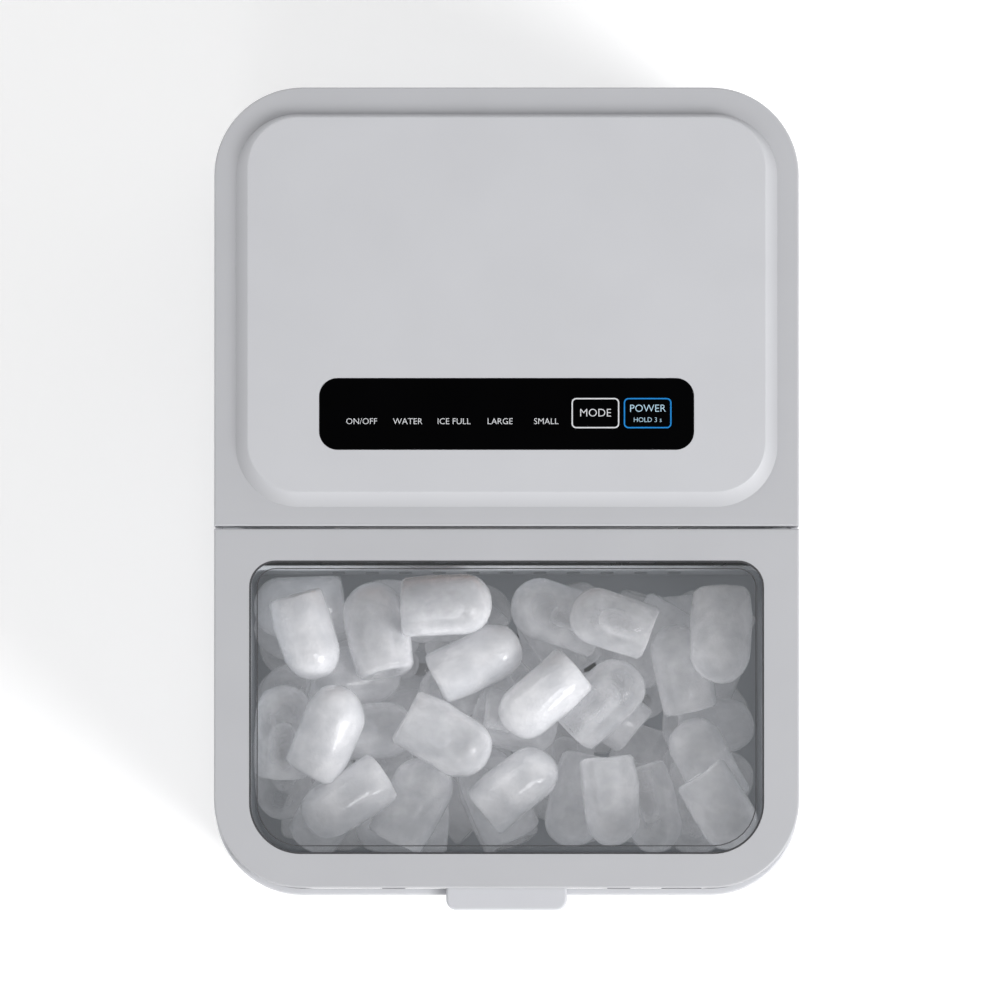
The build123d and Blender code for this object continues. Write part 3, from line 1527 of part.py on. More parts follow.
parts_y = board_y + board_thickness
board_blocks = [
    (case_x - 32, case_z + 18, 22, 20, 16),
    (case_x - 6, case_z + 22, 14, 18, 14),
    (case_x + 11, case_z + 22, 14, 18, 14),
    (case_x + 28, case_z + 22, 14, 18, 14),
    (case_x - 32, case_z - 22, 30, 16, 10),
    (case_x + 26, case_z - 26, 34, 10, 8),
]
board_cans = [
    (case_x + 2, case_z - 8, 6, 15),
    (case_x + 18, case_z - 8, 5, 13),
    (case_x - 12, case_z - 8, 4, 11),
]
with BuildPart() as board_components:
    for x, z, width, height, depth in board_blocks:
        with BuildSketch(Plane.XZ.offset(-parts_y)):
            with Locations((x, z)):
                Rectangle(width, height)
        extrude(amount=-depth)
    for x, z, radius, depth in board_cans:
        with BuildSketch(Plane.XZ.offset(-parts_y)):
            with Locations((x, z)):
                Circle(radius)
        extrude(amount=-depth)
keep(board_components, "board_components")

lead_radius = 2.0
lead_y = case_y + case_depth / 2
with BuildPart() as control_lead:
    tube_along(
        [
            (-20, lead_y, case_top),
            (-20, lead_y, over_top),
            (-20, panel_y, over_top),
            (-20, panel_y, board_z),
        ],
        [9, 6],
        lead_radius,
    )
keep(control_lead, "control_lead")

with BuildPart() as compressor_lead:
    tube_along(
        [
            (terminal_x - terminal_width / 2, compressor_y, terminal_top),
            (terminal_x - terminal_width / 2, compressor_y, frame_bottom + 15),
            (-12, compressor_y, frame_bottom + 30),
            (-12, compressor_y, case_bottom),
        ],
        [12, 12],
        lead_radius,
    )
keep(compressor_lead, "compressor_lead")
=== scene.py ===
# %% [markdown]
# A countertop ice maker, finished in Blender around its engineering model. The engineering model already holds
# every part at its true size, so this script adds what that model lacks: surface finishes, the ice, the printed
# panel and a painted line of shade round the pane. Lengths are in metres, and `MM` turns millimetres into metres,
# because most of the values on such a machine are easier to read in millimetres.

import json
import math
import random

import bmesh
import bpy
import numpy as np
from mathutils import Euler, Matrix, Vector, noise


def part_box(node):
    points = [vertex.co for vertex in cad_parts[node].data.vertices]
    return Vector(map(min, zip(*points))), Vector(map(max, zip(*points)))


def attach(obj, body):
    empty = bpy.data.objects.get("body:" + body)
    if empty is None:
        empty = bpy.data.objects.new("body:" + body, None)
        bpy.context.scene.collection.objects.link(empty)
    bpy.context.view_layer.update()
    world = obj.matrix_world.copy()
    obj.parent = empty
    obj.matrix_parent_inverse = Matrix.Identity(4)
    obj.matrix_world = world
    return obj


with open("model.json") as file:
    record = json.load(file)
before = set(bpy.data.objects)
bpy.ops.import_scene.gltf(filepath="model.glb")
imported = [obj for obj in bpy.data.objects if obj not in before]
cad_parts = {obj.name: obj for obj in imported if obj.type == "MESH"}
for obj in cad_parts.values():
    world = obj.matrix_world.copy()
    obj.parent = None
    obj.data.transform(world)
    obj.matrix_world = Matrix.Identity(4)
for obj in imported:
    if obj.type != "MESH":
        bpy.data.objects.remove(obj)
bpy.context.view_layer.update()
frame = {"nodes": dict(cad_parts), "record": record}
MM = 0.001
scene = bpy.context.scene

# %% [markdown]
# The camera comes first. The machine is seen from straight above through a very long lens, which keeps its sides
# parallel. A lean of about a degree and a half towards the front lets the rim of the body show under the lid.

# %% Camera
cover_low, cover_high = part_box("rear_cover")
lid_low, lid_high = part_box("lid_frame")
top_height = lid_high.z
view_width = 0.3795
lens = 500.0
sensor = 36.0
lean = math.radians(1.6)
look_at = Vector((-2.5 * MM, (lid_low.y + cover_high.y) / 2 - 4.8 * MM, top_height))
distance = view_width * lens / sensor

camera_data = bpy.data.cameras.new("camera")
camera_data.lens = lens
camera_data.sensor_width = sensor
camera_data.clip_end = 100.0
camera = bpy.data.objects.new("camera", camera_data)
camera.location = look_at + distance * Vector((0, -math.sin(lean), math.cos(lean)))
camera.rotation_euler = (lean, 0, 0)
scene.collection.objects.link(camera)
scene.camera = camera
print("camera stands", round(distance, 2), "m above the lid")

# %% [markdown]
# A pale floor and a soft studio. Glossy black shows whatever is above it, so the sky is bright near the horizon
# and dim overhead. That leaves the control panel black from above while the plastic still gets plenty of light.
# Large area lights from the right and the front give every raised edge a light side and a dark side.

# %% Studio
def studio_sky(horizon, overhead):
    world = bpy.data.worlds.new("studio")
    world.use_nodes = True
    tree = world.node_tree
    background = tree.nodes["Background"]
    coordinates = tree.nodes.new("ShaderNodeTexCoord")
    split = tree.nodes.new("ShaderNodeSeparateXYZ")
    ramp = tree.nodes.new("ShaderNodeValToRGB")
    ramp.color_ramp.elements[0].position = 0.72
    ramp.color_ramp.elements[0].color = (horizon, horizon, horizon, 1)
    ramp.color_ramp.elements[1].position = 0.97
    ramp.color_ramp.elements[1].color = (overhead, overhead, overhead, 1)
    tree.links.new(coordinates.outputs["Generated"], split.inputs[0])
    tree.links.new(split.outputs["Z"], ramp.inputs["Fac"])
    tree.links.new(ramp.outputs["Color"], background.inputs["Color"])
    scene.world = world


def area_light(name, place, aim, size, watts, tint=(1, 1, 1)):
    data = bpy.data.lights.new(name, "AREA")
    data.shape = "DISK"
    data.size = size
    data.energy = watts
    data.color = tint
    light = bpy.data.objects.new(name, data)
    light.location = place
    light.rotation_euler = (Vector(aim) - Vector(place)).to_track_quat("-Z", "Y").to_euler()
    scene.collection.objects.link(light)
    return light


studio_sky(horizon=0.82, overhead=0.02)
area_light("key", (1.9, -1.3, 1.9), (0, 0, 0.3), 1.3, 46)
area_light("front", (-0.3, -2.2, 1.9), (0, 0, 0.25), 1.2, 7)
area_light("high", (1.0, -0.9, 2.6), (0, 0, 0.3), 0.7, 9)
area_light("back", (-1.7, 1.9, 1.9), (0, 0, 0.3), 1.6, 11)
scene.view_settings.view_transform = "Standard"

floor_mesh = bpy.data.meshes.new("floor")
floor_bm = bmesh.new()
bmesh.ops.create_grid(floor_bm, x_segments=1, y_segments=1, size=30)
floor_bm.to_mesh(floor_mesh)
floor_bm.free()
floor = bpy.data.objects.new("floor", floor_mesh)
scene.collection.objects.link(floor)
floor_material = bpy.data.materials.new("floor")
floor_material.use_nodes = True
floor_material.node_tree.nodes["Principled BSDF"].inputs["Base Color"].default_value = (0.93, 0.93, 0.93, 1)
floor_material.node_tree.nodes["Principled BSDF"].inputs["Roughness"].default_value = 0.9
floor_material.node_tree.nodes["Principled BSDF"].inputs["Emission Color"].default_value = (1, 1, 1, 1)
floor_material.node_tree.nodes["Principled BSDF"].inputs["Emission Strength"].default_value = 0.25
floor_mesh.materials.append(floor_material)
print("floor and", len(bpy.data.lights), "lights")

# %% [markdown]
# Every finish starts from the same few nodes: one noise for slow changes of tone, one fine noise for the grain
# that the mould leaves, and a bump made from that grain. The helper below builds them from object coordinates, so
# the pattern keeps its real scale on every part. Values that are even all over go straight on the shader.

# %% Finish helper
def colour(value):
    return (*value, 1.0)


def shade(value, factor):
    return tuple(min(1.0, channel * factor) for channel in value)


def finish(
    name, base, roughness, metallic=0.0, tone=0.04, tone_size=30.0, grain_size=0.5, grain_depth=0.02,
    rough_swing=0.06, coat=0.0, subsurface=0.0, stretch=(1, 1, 1), specular=0.5, painted_low_shade=None,
):
    """Material with slow tone changes tone_size mm across and a grain grain_size mm across, grain_depth mm deep.

    The last argument, for painted low shade, is (height in mm, height in mm, factor): full tone above the second
    height, the colour times factor below the first.
    """
    material = bpy.data.materials.new(name)
    material.use_nodes = True
    nodes, links = material.node_tree.nodes, material.node_tree.links
    shader = nodes["Principled BSDF"]
    shader.inputs["Metallic"].default_value = metallic
    shader.inputs["Coat Weight"].default_value = coat
    shader.inputs["Coat Roughness"].default_value = 0.12
    shader.inputs["Specular IOR Level"].default_value = specular
    if subsurface:
        shader.inputs["Subsurface Weight"].default_value = subsurface
        shader.inputs["Subsurface Radius"].default_value = (1.0, 1.0, 1.0)
        shader.inputs["Subsurface Scale"].default_value = 2 * MM
    place = nodes.new("ShaderNodeTexCoord")
    mapping = nodes.new("ShaderNodeMapping")
    mapping.inputs["Scale"].default_value = stretch
    links.new(place.outputs["Object"], mapping.inputs["Vector"])
    cloud = nodes.new("ShaderNodeTexNoise")
    cloud.inputs["Scale"].default_value = 1 / (tone_size * MM)
    cloud.inputs["Detail"].default_value = 4
    ramp = nodes.new("ShaderNodeValToRGB")
    ramp.color_ramp.elements[0].position = 0.3
    ramp.color_ramp.elements[0].color = colour(shade(base, 1 - tone))
    ramp.color_ramp.elements[1].position = 0.7
    ramp.color_ramp.elements[1].color = colour(shade(base, 1 + tone))
    grain = nodes.new("ShaderNodeTexNoise")
    grain.inputs["Scale"].default_value = 1 / (grain_size * MM)
    grain.inputs["Detail"].default_value = 2
    bump = nodes.new("ShaderNodeBump")
    bump.inputs["Strength"].default_value = 0.5
    bump.inputs["Distance"].default_value = grain_depth * MM
    swing = nodes.new("ShaderNodeMapRange")
    swing.inputs["To Min"].default_value = max(0.02, roughness - rough_swing)
    swing.inputs["To Max"].default_value = min(1.0, roughness + rough_swing)
    for texture in (cloud, grain):
        links.new(mapping.outputs["Vector"], texture.inputs["Vector"])
    links.new(cloud.outputs["Fac"], ramp.inputs["Fac"])
    # Painted shade: below the first height the colour is multiplied by the factor, so lower faces read darker as if
    # in shade.
    if painted_low_shade:
        height = nodes.new("ShaderNodeSeparateXYZ")
        depth = nodes.new("ShaderNodeMapRange")
        depth.inputs["From Min"].default_value = painted_low_shade[0] * MM
        depth.inputs["From Max"].default_value = painted_low_shade[1] * MM
        depth.inputs["To Min"].default_value = painted_low_shade[2]
        depth.inputs["To Max"].default_value = 1.0
        darker = nodes.new("ShaderNodeVectorMath")
        darker.operation = "MULTIPLY"
        links.new(place.outputs["Object"], height.inputs[0])
        links.new(height.outputs["Z"], depth.inputs["Value"])
        links.new(ramp.outputs["Color"], darker.inputs[0])
        links.new(depth.outputs["Result"], darker.inputs[1])
        links.new(darker.outputs["Vector"], shader.inputs["Base Color"])
    else:
        links.new(ramp.outputs["Color"], shader.inputs["Base Color"])
    links.new(grain.outputs["Fac"], bump.inputs["Height"])
    links.new(bump.outputs["Normal"], shader.inputs["Normal"])
    links.new(cloud.outputs["Fac"], swing.inputs["Value"])
    links.new(swing.outputs["Result"], shader.inputs["Roughness"])
    return material


# %% [markdown]
# The casing is ABS with a satin spark finish, a cool light grey. The lid and the rear cover come from another
# tool and are a touch smoother than the body. Rubber, foam, painted steel, copper and nickel follow.
# The cover plastic also carries painted shade. It is darker on its faces below 316.2 mm, which stands in for shade
# in the recesses and is not a colour of the plastic.

# %% Finishes
casing_grey = (0.545, 0.55, 0.575)
finishes = {
    "casing_plastic": finish("casing_plastic", shade(casing_grey, 1.04), 0.5, grain_size=0.45, tone=0.012),
    "cover_plastic": finish(
        "cover_plastic", shade(casing_grey, 0.97), 0.42, grain_size=0.4, grain_depth=0.012, tone=0.012,
        # Painted shade: under 316.2 mm the cover plastic is darkened to 86 per cent, fading out by 319.6 mm, to
        # stand in for the shade in the recesses.
        painted_low_shade=(316.2, 319.6, 0.86),
    ),
    "panel_gloss": finish(
        "panel_gloss", (0.001, 0.001, 0.0012), 0.06, tone=0.2, grain_depth=0.0, rough_swing=0.02, specular=0.25
    ),
    "seal_rubber": finish("seal_rubber", (0.05, 0.05, 0.055), 0.75, tone=0.15, grain_size=0.3),
    "foot_rubber": finish("foot_rubber", (0.03, 0.03, 0.03), 0.8, tone=0.2, grain_size=0.6, grain_depth=0.05),
    "tank_plastic": finish("tank_plastic", (0.78, 0.8, 0.82), 0.38, tone=0.02, subsurface=0.2),
    "insulation": finish("insulation", (0.8, 0.8, 0.77), 0.9, tone=0.05, grain_size=3.0, grain_depth=0.3),
    "basket_plastic": finish("basket_plastic", (0.72, 0.75, 0.78), 0.3, tone=0.02, subsurface=0.3),
    "dark_plastic": finish("dark_plastic", (0.025, 0.025, 0.028), 0.5, tone=0.15, grain_size=0.5),
    "steel": finish(
        "steel", (0.58, 0.58, 0.6), 0.32, metallic=1.0, tone=0.08, tone_size=12, grain_size=0.4, stretch=(1, 8, 8)
    ),
    "painted_steel": finish(
        "painted_steel", (0.012, 0.012, 0.014), 0.28, tone=0.2, grain_size=1.2, grain_depth=0.05, coat=0.4
    ),
    "nickel": finish("nickel", (0.68, 0.66, 0.62), 0.18, metallic=1.0, tone=0.05, tone_size=8),
    "copper": finish("copper", (0.72, 0.33, 0.2), 0.28, metallic=1.0, tone=0.25, tone_size=9, grain_size=0.3),
    "aluminium": finish("aluminium", (0.72, 0.73, 0.74), 0.35, metallic=1.0, tone=0.06, stretch=(1, 1, 6)),
    "silicone": finish("silicone", (0.75, 0.77, 0.76), 0.35, tone=0.04, subsurface=0.4),
    "circuit_board": finish("circuit_board", (0.01, 0.09, 0.035), 0.35, tone=0.35, tone_size=2.5, coat=0.3),
    "indicator": finish("indicator", (0.7, 0.7, 0.7), 0.3, tone=0.05, subsurface=0.3),
}


def clear_finish(name, gloss_tint, dullness):
    """Clear plastic: mostly see-through, with a reflection that grows towards grazing angles."""
    material = bpy.data.materials.new(name)
    material.use_nodes = True
    nodes, links = material.node_tree.nodes, material.node_tree.links
    shader = nodes["Principled BSDF"]
    shader.inputs["Base Color"].default_value = colour(gloss_tint)
    shader.inputs["Roughness"].default_value = dullness
    shader.inputs["Transmission Weight"].default_value = 0.0
    output = nodes["Material Output"]
    clear = nodes.new("ShaderNodeBsdfTransparent")
    clear.inputs["Color"].default_value = (0.985, 0.985, 0.988, 1)
    facing = nodes.new("ShaderNodeLayerWeight")
    facing.inputs["Blend"].default_value = 0.5
    steep = nodes.new("ShaderNodeMath")
    steep.operation = "POWER"
    steep.inputs[1].default_value = 5.0
    edge = nodes.new("ShaderNodeMapRange")
    edge.inputs["To Min"].default_value = 0.04
    edge.inputs["To Max"].default_value = 0.9
    place = nodes.new("ShaderNodeTexCoord")
    smear = nodes.new("ShaderNodeTexNoise")
    smear.inputs["Scale"].default_value = 1 / (40 * MM)
    swing = nodes.new("ShaderNodeMapRange")
    swing.inputs["To Min"].default_value = 0.7
    swing.inputs["To Max"].default_value = 1.2
    amount = nodes.new("ShaderNodeMath")
    amount.operation = "MULTIPLY"
    mix = nodes.new("ShaderNodeMixShader")
    links.new(place.outputs["Object"], smear.inputs["Vector"])
    links.new(smear.outputs["Fac"], swing.inputs["Value"])
    links.new(swing.outputs["Result"], amount.inputs[0])
    links.new(facing.outputs["Facing"], steep.inputs[0])
    links.new(steep.outputs["Value"], edge.inputs["Value"])
    links.new(edge.outputs["Result"], amount.inputs[1])
    links.new(amount.outputs["Value"], mix.inputs["Fac"])
    links.new(clear.outputs["BSDF"], mix.inputs[1])
    links.new(shader.outputs["BSDF"], mix.inputs[2])
    links.new(mix.outputs["Shader"], output.inputs["Surface"])
    return material


finishes["clear_window"] = clear_finish("clear_window", (0.8, 0.82, 0.84), 0.07)

slot_of = {part["node"]: part["material_slot"] for part in frame["record"]["subparts"]}
for node_name, node in frame["nodes"].items():
    node.data.materials.clear()
    node.data.materials.append(finishes[slot_of[node_name]])
print("finishes given to", len(slot_of), "parts")


def add_piece(bm, name, material, body):
    """Turn a bmesh into a finished piece that rides on a body."""
    mesh = bpy.data.meshes.new(name)
    bmesh.ops.recalc_face_normals(bm, faces=bm.faces)
    bm.to_mesh(mesh)
    bm.free()
    mesh.materials.append(material)
    piece = bpy.data.objects.new(name, mesh)
    scene.collection.objects.link(piece)
    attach(piece, body)
    return piece


# %% [markdown]
# Ice next. This kind of machine freezes water round metal fingers, so each lump is a bullet: a domed end, a flat
# end and a round hollow where the finger was. A profile is spun into a solid of revolution, and a noise pushes its
# surface about, because freezing is never even. A few different bullets are enough, since each falls differently.

# %% One bullet of ice
bullet_radius = 11.4 * MM
bullet_length = 35 * MM
hollow_radius = 5.2 * MM
hollow_depth = 25 * MM


def bullet_profile(radius, length, bore, depth, arc_steps=7):
    """Half outline from the tip of the dome, round the flat end, to the bottom of the hollow."""
    dome = [math.pi / 2 * step / arc_steps for step in range(arc_steps + 1)]
    outline = [(radius * math.sin(a), length - radius + radius * math.cos(a)) for a in dome]
    outline += [(radius * 1.01, length * 0.3), (radius * 0.98, 1.6 * MM), (radius * 0.88, 0.3 * MM)]
    outline += [(bore * 1.3, 0), (bore * 1.06, 0.9 * MM), (bore, depth * 0.5)]
    bottom = [math.pi / 2 * step / 3 for step in range(4)]
    outline += [(bore * math.cos(a), depth - bore + bore * math.sin(a)) for a in bottom]
    return outline


def bullet_mesh(name, seed):
    shuffle = random.Random(seed)
    radius = bullet_radius * shuffle.uniform(0.93, 1.04)
    length = bullet_length * shuffle.uniform(0.9, 1.05)
    bore = hollow_radius * shuffle.uniform(0.85, 1.15)
    bm = bmesh.new()
    points = bullet_profile(radius, length, bore, hollow_depth * shuffle.uniform(0.8, 1.0))
    verts = [bm.verts.new((r, 0, z)) for r, z in points]
    edges = [bm.edges.new(pair) for pair in zip(verts, verts[1:])]
    bmesh.ops.spin(
        bm, geom=verts + edges, cent=(0, 0, 0), axis=(0, 0, 1), angle=2 * math.pi, steps=24, use_merge=True
    )
    bmesh.ops.remove_doubles(bm, verts=bm.verts, dist=0.05 * MM)
    offset = Vector((seed * 3.1, seed * 1.7, 0))
    for vert in bm.verts:
        slow = noise.noise_vector(vert.co / (16 * MM) + offset)
        fast = noise.noise_vector(vert.co / (4 * MM) + offset)
        vert.co += slow * 1.1 * MM + fast * 0.22 * MM
    bmesh.ops.recalc_face_normals(bm, faces=bm.faces)
    bmesh.ops.translate(bm, verts=bm.verts, vec=(0, 0, -length / 2))
    for face in bm.faces:
        face.smooth = True
    mesh = bpy.data.meshes.new(name)
    bm.to_mesh(mesh)
    bm.free()
    return mesh


bullets = [bullet_mesh(f"bullet_{i}", i + 1) for i in range(6)]
print("bullet faces:", [len(mesh.polygons) for mesh in bullets])

# %% [markdown]
# How should the lumps lie? Placed by hand they look stacked, and the rigid body solver gives a different heap on
# every run. So the basket is filled the way one fills a jar with pebbles. A coarse map holds the height of the heap
# at each spot. Each new lump tries many turns and places, and stays where its highest point comes out lowest.
# The seed fixes every choice, so the heap is always the same one.

# %% Fill the basket
basket_low, basket_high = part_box("ice_basket")
basket_wall = 1.6 * MM
cell = 3 * MM
ice_ceiling = 284 * MM
turns_tried = 30
places_tried = 40
most_lumps = 140


def cell_shape(points):
    """Cells that a turned lump covers, with its underside and its top in each."""
    cells = np.floor(points[:, :2] / cell).astype(int)
    spots, owner = np.unique(cells, axis=0, return_inverse=True)
    owner = owner.ravel()
    under = np.full(len(spots), np.inf)
    top = np.full(len(spots), -np.inf)
    np.minimum.at(under, owner, points[:, 2])
    np.maximum.at(top, owner, points[:, 2])
    return spots, under, top


def fill_basket():
    """Resting place of every lump, as (bullet number, matrix)."""
    shuffle = random.Random(11)
    corner = basket_low + Vector((basket_wall, basket_wall, basket_wall))
    across = int((basket_high.x - basket_wall - corner.x) / cell)
    along = int((basket_high.y - basket_wall - corner.y) / cell)
    heap = np.full((across, along), corner.z)
    shapes = [np.array([vert.co[:] for vert in mesh.vertices]) for mesh in bullets]
    resting = []
    for _ in range(most_lumps):
        number = shuffle.randrange(len(bullets))
        best = None
        for _ in range(turns_tried):
            turn = Euler([shuffle.uniform(0, 2 * math.pi) for _ in range(3)]).to_matrix()
            spots, under, top = cell_shape(shapes[number] @ np.array(turn).T)
            low, high = spots.min(axis=0), spots.max(axis=0)
            for _ in range(places_tried):
                place = np.array(
                    [shuffle.randint(-low[0], across - 1 - high[0]), shuffle.randint(-low[1], along - 1 - high[1])]
                )
                column = spots + place
                rest = (heap[column[:, 0], column[:, 1]] - under).max()
                if best is None or rest + top.max() < best[0]:
                    best = (rest + top.max(), rest, turn, place, column, top)
        highest, rest, turn, place, column, top = best
        if highest > ice_ceiling:
            continue
        heap[column[:, 0], column[:, 1]] = np.maximum(heap[column[:, 0], column[:, 1]], rest + top)
        spot = Vector((corner.x + place[0] * cell, corner.y + place[1] * cell, rest))
        resting.append((number, Matrix.LocRotScale(spot, turn, None)))
    return resting


resting = fill_basket()
heights = sorted(place.translation.z for _, place in resting)
print("lumps:", len(resting), "centres from", round(heights[0], 4), "to", round(heights[-1], 4))

# %% [markdown]
# Ice is part clear, part clouded by trapped air. A true glass shader is slow and dark under a window, so here the
# clear part lets the eye straight through to the hollow behind it, and the edges, where one looks along the wall
# of the lump, stay milky. A faint glow stands for light that scatters inside. A noise decides where it is cloudy.

# %% Ice finish
def ice_finish(name, see_through, seed):
    """Ice whose middle shows what is behind it and whose edges are milky; see_through runs from 0 to 1."""
    material = bpy.data.materials.new(name)
    material.use_nodes = True
    nodes, links = material.node_tree.nodes, material.node_tree.links
    shader = nodes["Principled BSDF"]
    shader.inputs["IOR"].default_value = 1.31
    shader.inputs["Specular IOR Level"].default_value = 0.8
    shader.inputs["Coat Weight"].default_value = 0.6
    shader.inputs["Coat Roughness"].default_value = 0.04
    shader.inputs["Emission Color"].default_value = (0.97, 0.98, 1, 1)
    shader.inputs["Emission Strength"].default_value = 0.07
    place = nodes.new("ShaderNodeTexCoord")
    mapping = nodes.new("ShaderNodeMapping")
    mapping.inputs["Location"].default_value = (seed, seed * 0.7, 0)
    cloud = nodes.new("ShaderNodeTexNoise")
    cloud.inputs["Scale"].default_value = 1 / (11 * MM)
    cloud.inputs["Detail"].default_value = 5
    thin = nodes.new("ShaderNodeMapRange")
    thin.inputs["From Min"].default_value = 0.35
    thin.inputs["From Max"].default_value = 0.65
    thin.inputs["To Min"].default_value = 1 - see_through
    thin.inputs["To Max"].default_value = 1 - 0.8 * see_through
    facing = nodes.new("ShaderNodeLayerWeight")
    facing.inputs["Blend"].default_value = 0.5
    milky = nodes.new("ShaderNodeMath")
    milky.operation = "ADD"
    milky.use_clamp = True
    ramp = nodes.new("ShaderNodeValToRGB")
    ramp.color_ramp.elements[0].position = 0.35
    ramp.color_ramp.elements[0].color = (0.7, 0.71, 0.74, 1)
    ramp.color_ramp.elements[1].position = 0.65
    ramp.color_ramp.elements[1].color = (0.93, 0.93, 0.95, 1)
    crackle = nodes.new("ShaderNodeTexNoise")
    crackle.inputs["Scale"].default_value = 1 / (1.3 * MM)
    crackle.inputs["Detail"].default_value = 3
    bump = nodes.new("ShaderNodeBump")
    bump.inputs["Strength"].default_value = 0.7
    bump.inputs["Distance"].default_value = 0.3 * MM
    dull = nodes.new("ShaderNodeMapRange")
    dull.inputs["To Min"].default_value = 0.08
    dull.inputs["To Max"].default_value = 0.42
    links.new(place.outputs["Object"], mapping.inputs["Vector"])
    for texture in (cloud, crackle):
        links.new(mapping.outputs["Vector"], texture.inputs["Vector"])
    links.new(cloud.outputs["Fac"], thin.inputs["Value"])
    links.new(thin.outputs["Result"], milky.inputs[0])
    links.new(facing.outputs["Facing"], milky.inputs[1])
    links.new(milky.outputs["Value"], shader.inputs["Alpha"])
    links.new(cloud.outputs["Fac"], ramp.inputs["Fac"])
    links.new(ramp.outputs["Color"], shader.inputs["Base Color"])
    links.new(cloud.outputs["Fac"], dull.inputs["Value"])
    links.new(dull.outputs["Result"], shader.inputs["Roughness"])
    links.new(crackle.outputs["Fac"], bump.inputs["Height"])
    links.new(bump.outputs["Normal"], shader.inputs["Normal"])
    return material


ice_kinds = {
    "ice_clear": ice_finish("ice_clear", 0.85, 0.3),
    "ice_cloudy": ice_finish("ice_cloudy", 0.65, 1.9),
    "ice_white": ice_finish("ice_white", 0.2, 4.1),
}
piles = {name: bmesh.new() for name in ice_kinds}
pick = random.Random(5)
for number, place in resting:
    lump = bullets[number].copy()
    lump.transform(place)
    piles[pick.choice(list(piles))].from_mesh(lump)
    bpy.data.meshes.remove(lump)
for name, bm in piles.items():
    print(name, len(bm.faces), "faces")
    add_piece(bm, name, ice_kinds[name], "basket")
for mesh in bullets:
    bpy.data.meshes.remove(mesh)

# %% [markdown]
# The panel's printing is a hair above the glossy black, as ink is. Each word is set with Blender's own typeface
# and made into a mesh; the frames of the two touch keys are thin rings cut from rounded plates.

# %% Printing on the panel
panel_low, panel_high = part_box("control_panel")
panel_centre = (panel_low + panel_high) / 2
ink_base = panel_high.z + 0.01 * MM
ink_height = 0.04 * MM


def lettering(bm, words, x, y, capital):
    """Add words to a bmesh, centred at x, y millimetres from the panel's centre."""
    curve = bpy.data.curves.new("words", "FONT")
    curve.body = words
    curve.size = capital * MM / 0.7
    curve.align_x = "CENTER"
    curve.align_y = "CENTER"
    curve.extrude = ink_height / 2
    curve.resolution_u = 3
    curve.offset = -0.012 * capital * MM
    holder = bpy.data.objects.new("words", curve)
    scene.collection.objects.link(holder)
    mesh = bpy.data.meshes.new_from_object(holder.evaluated_get(bpy.context.evaluated_depsgraph_get()))
    spot = Vector((panel_centre.x + x * MM, panel_centre.y + y * MM, ink_base + ink_height / 2))
    mesh.transform(Matrix.Translation(spot))
    bm.from_mesh(mesh)
    bpy.data.objects.remove(holder)
    bpy.data.meshes.remove(mesh)


def rounded_ring(bm, low, high, line, front_radius, rear_radius, base):
    """Add a thin raised ring with rounded corners; low and high are its outer corners in millimetres."""
    plate = bmesh.new()
    bmesh.ops.create_grid(plate, x_segments=1, y_segments=1, size=0.5)
    bmesh.ops.scale(plate, vec=((high[0] - low[0]) * MM, (high[1] - low[1]) * MM, 1), verts=plate.verts)
    for radius, front in ((front_radius, True), (rear_radius, False)):
        corners = [vert for vert in plate.verts if (vert.co.y < 0) == front]
        bmesh.ops.bevel(
            plate, geom=corners, offset=radius * MM, affect="VERTICES", segments=8, profile=0.5, material=-1
        )
    bmesh.ops.inset_region(
        plate, faces=plate.faces[:], thickness=line * MM, use_boundary=True, use_even_offset=True
    )
    middle = max(plate.faces, key=lambda face: face.calc_area())
    bmesh.ops.delete(plate, geom=[middle], context="FACES")
    raised = bmesh.ops.extrude_face_region(plate, geom=plate.faces[:])
    tops = [item for item in raised["geom"] if isinstance(item, bmesh.types.BMVert)]
    bmesh.ops.translate(plate, vec=(0, 0, ink_height), verts=tops)
    spot = Vector(((low[0] + high[0]) / 2 * MM, (low[1] + high[1]) / 2 * MM, base))
    bmesh.ops.translate(plate, vec=spot, verts=plate.verts)
    mesh = bpy.data.meshes.new("ring")
    plate.to_mesh(mesh)
    plate.free()
    bm.from_mesh(mesh)
    bpy.data.meshes.remove(mesh)


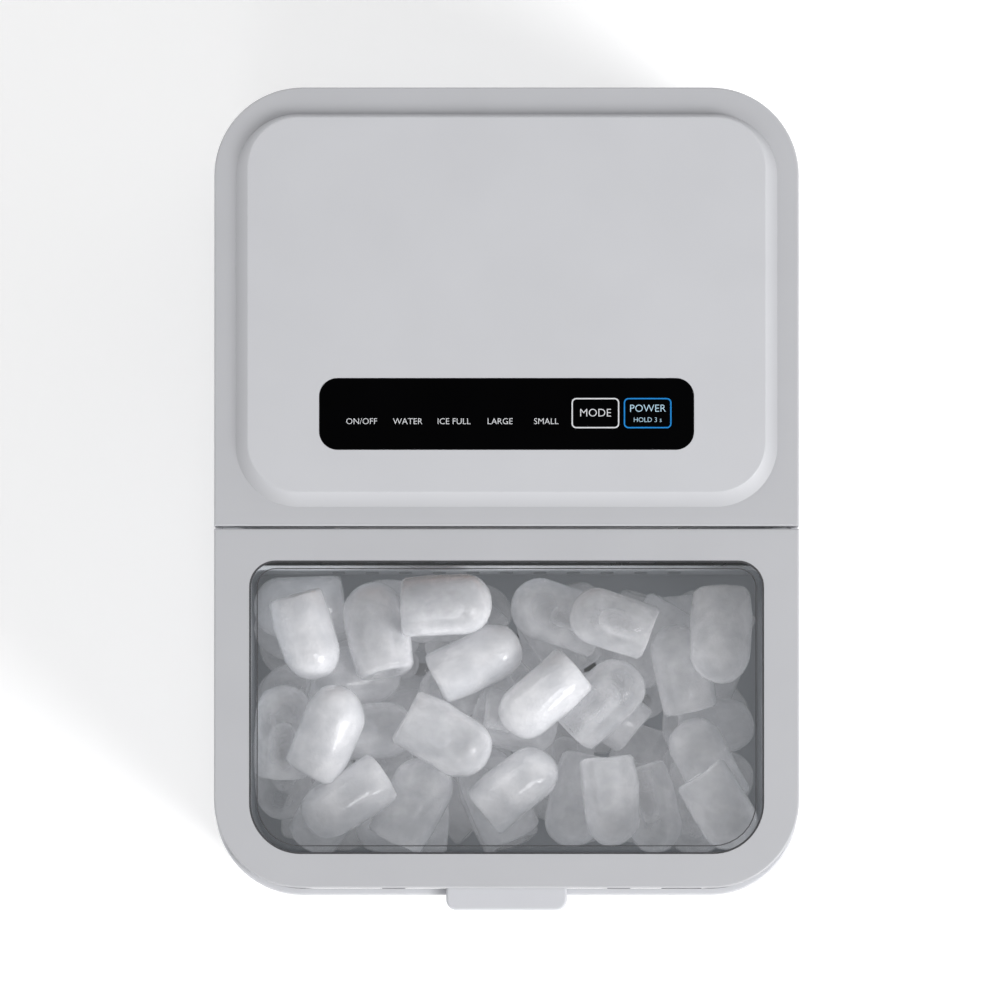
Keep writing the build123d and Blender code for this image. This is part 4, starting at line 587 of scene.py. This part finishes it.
def key_frame(bm, x, y, width, depth, line, radius):
    """Add the ring round a touch key."""
    middle = (panel_centre.x / MM + x, panel_centre.y / MM + y)
    low = (middle[0] - width / 2, middle[1] - depth / 2)
    high = (middle[0] + width / 2, middle[1] + depth / 2)
    rounded_ring(bm, low, high, line, radius, radius, ink_base)


white_ink = finish("white_ink", (0.62, 0.63, 0.65), 0.5, tone=0.05, tone_size=2)
blue_ink = finish("blue_ink", (0.0, 0.2, 0.56), 0.45, tone=0.05, tone_size=2)
pale_ink = finish("pale_ink", (0.42, 0.6, 0.72), 0.45, tone=0.05, tone_size=2)
label_size = 2.3
indicator_words = ["ON/OFF", "WATER", "ICE FULL", "LARGE", "SMALL"]
indicator_places = [-55.0, -37.5, -20.0, -2.5, 15.0]
print_bm = bmesh.new()
for words, x in zip(indicator_words, indicator_places):
    lettering(print_bm, words, x, -2.9, label_size)
lettering(print_bm, "MODE", 33.7, 0.3, 3.0)
key_frame(print_bm, 33.7, 0.3, 18.1, 11.5, 0.5, 1.8)
add_piece(print_bm, "panel_lettering", white_ink, "casing")
word_bm = bmesh.new()
lettering(word_bm, "POWER", 53.5, 2.0, 2.8)
lettering(word_bm, "HOLD 3 s", 53.5, -2.3, 1.8)
add_piece(word_bm, "power_key_words", pale_ink, "casing")
blue_bm = bmesh.new()
key_frame(blue_bm, 53.5, 0.3, 18.1, 11.5, 0.5, 1.8)
add_piece(blue_bm, "power_key_frame", blue_ink, "casing")
print("printing stands", round(ink_height / MM, 3), "mm proud")

# %% [markdown]
# The pane's edge is bevelled, and where the bevel meets the flat top a fine line of shade runs all the way round.
# Here that shade is painted as a hair-thin dark ring that rides on the lid.

# %% Painted shade line round the pane
opening_low = (-97.7, -139.1)
opening_high = (97.7, -27.75)
edge_inset = 2.9
shade_line_bm = bmesh.new()
rounded_ring(
    shade_line_bm,
    [side + edge_inset for side in opening_low],
    [side - edge_inset for side in opening_high],
    0.4,
    19.5 - edge_inset,
    10.0 - edge_inset,
    lid_high.z + 0.01 * MM,
)
# The dark ring is painted shade, not a part of the window.
add_piece(shade_line_bm, "pane_edge_painted_shade", finishes["seal_rubber"], "lid")
print("line sits", edge_inset, "mm inside the opening")
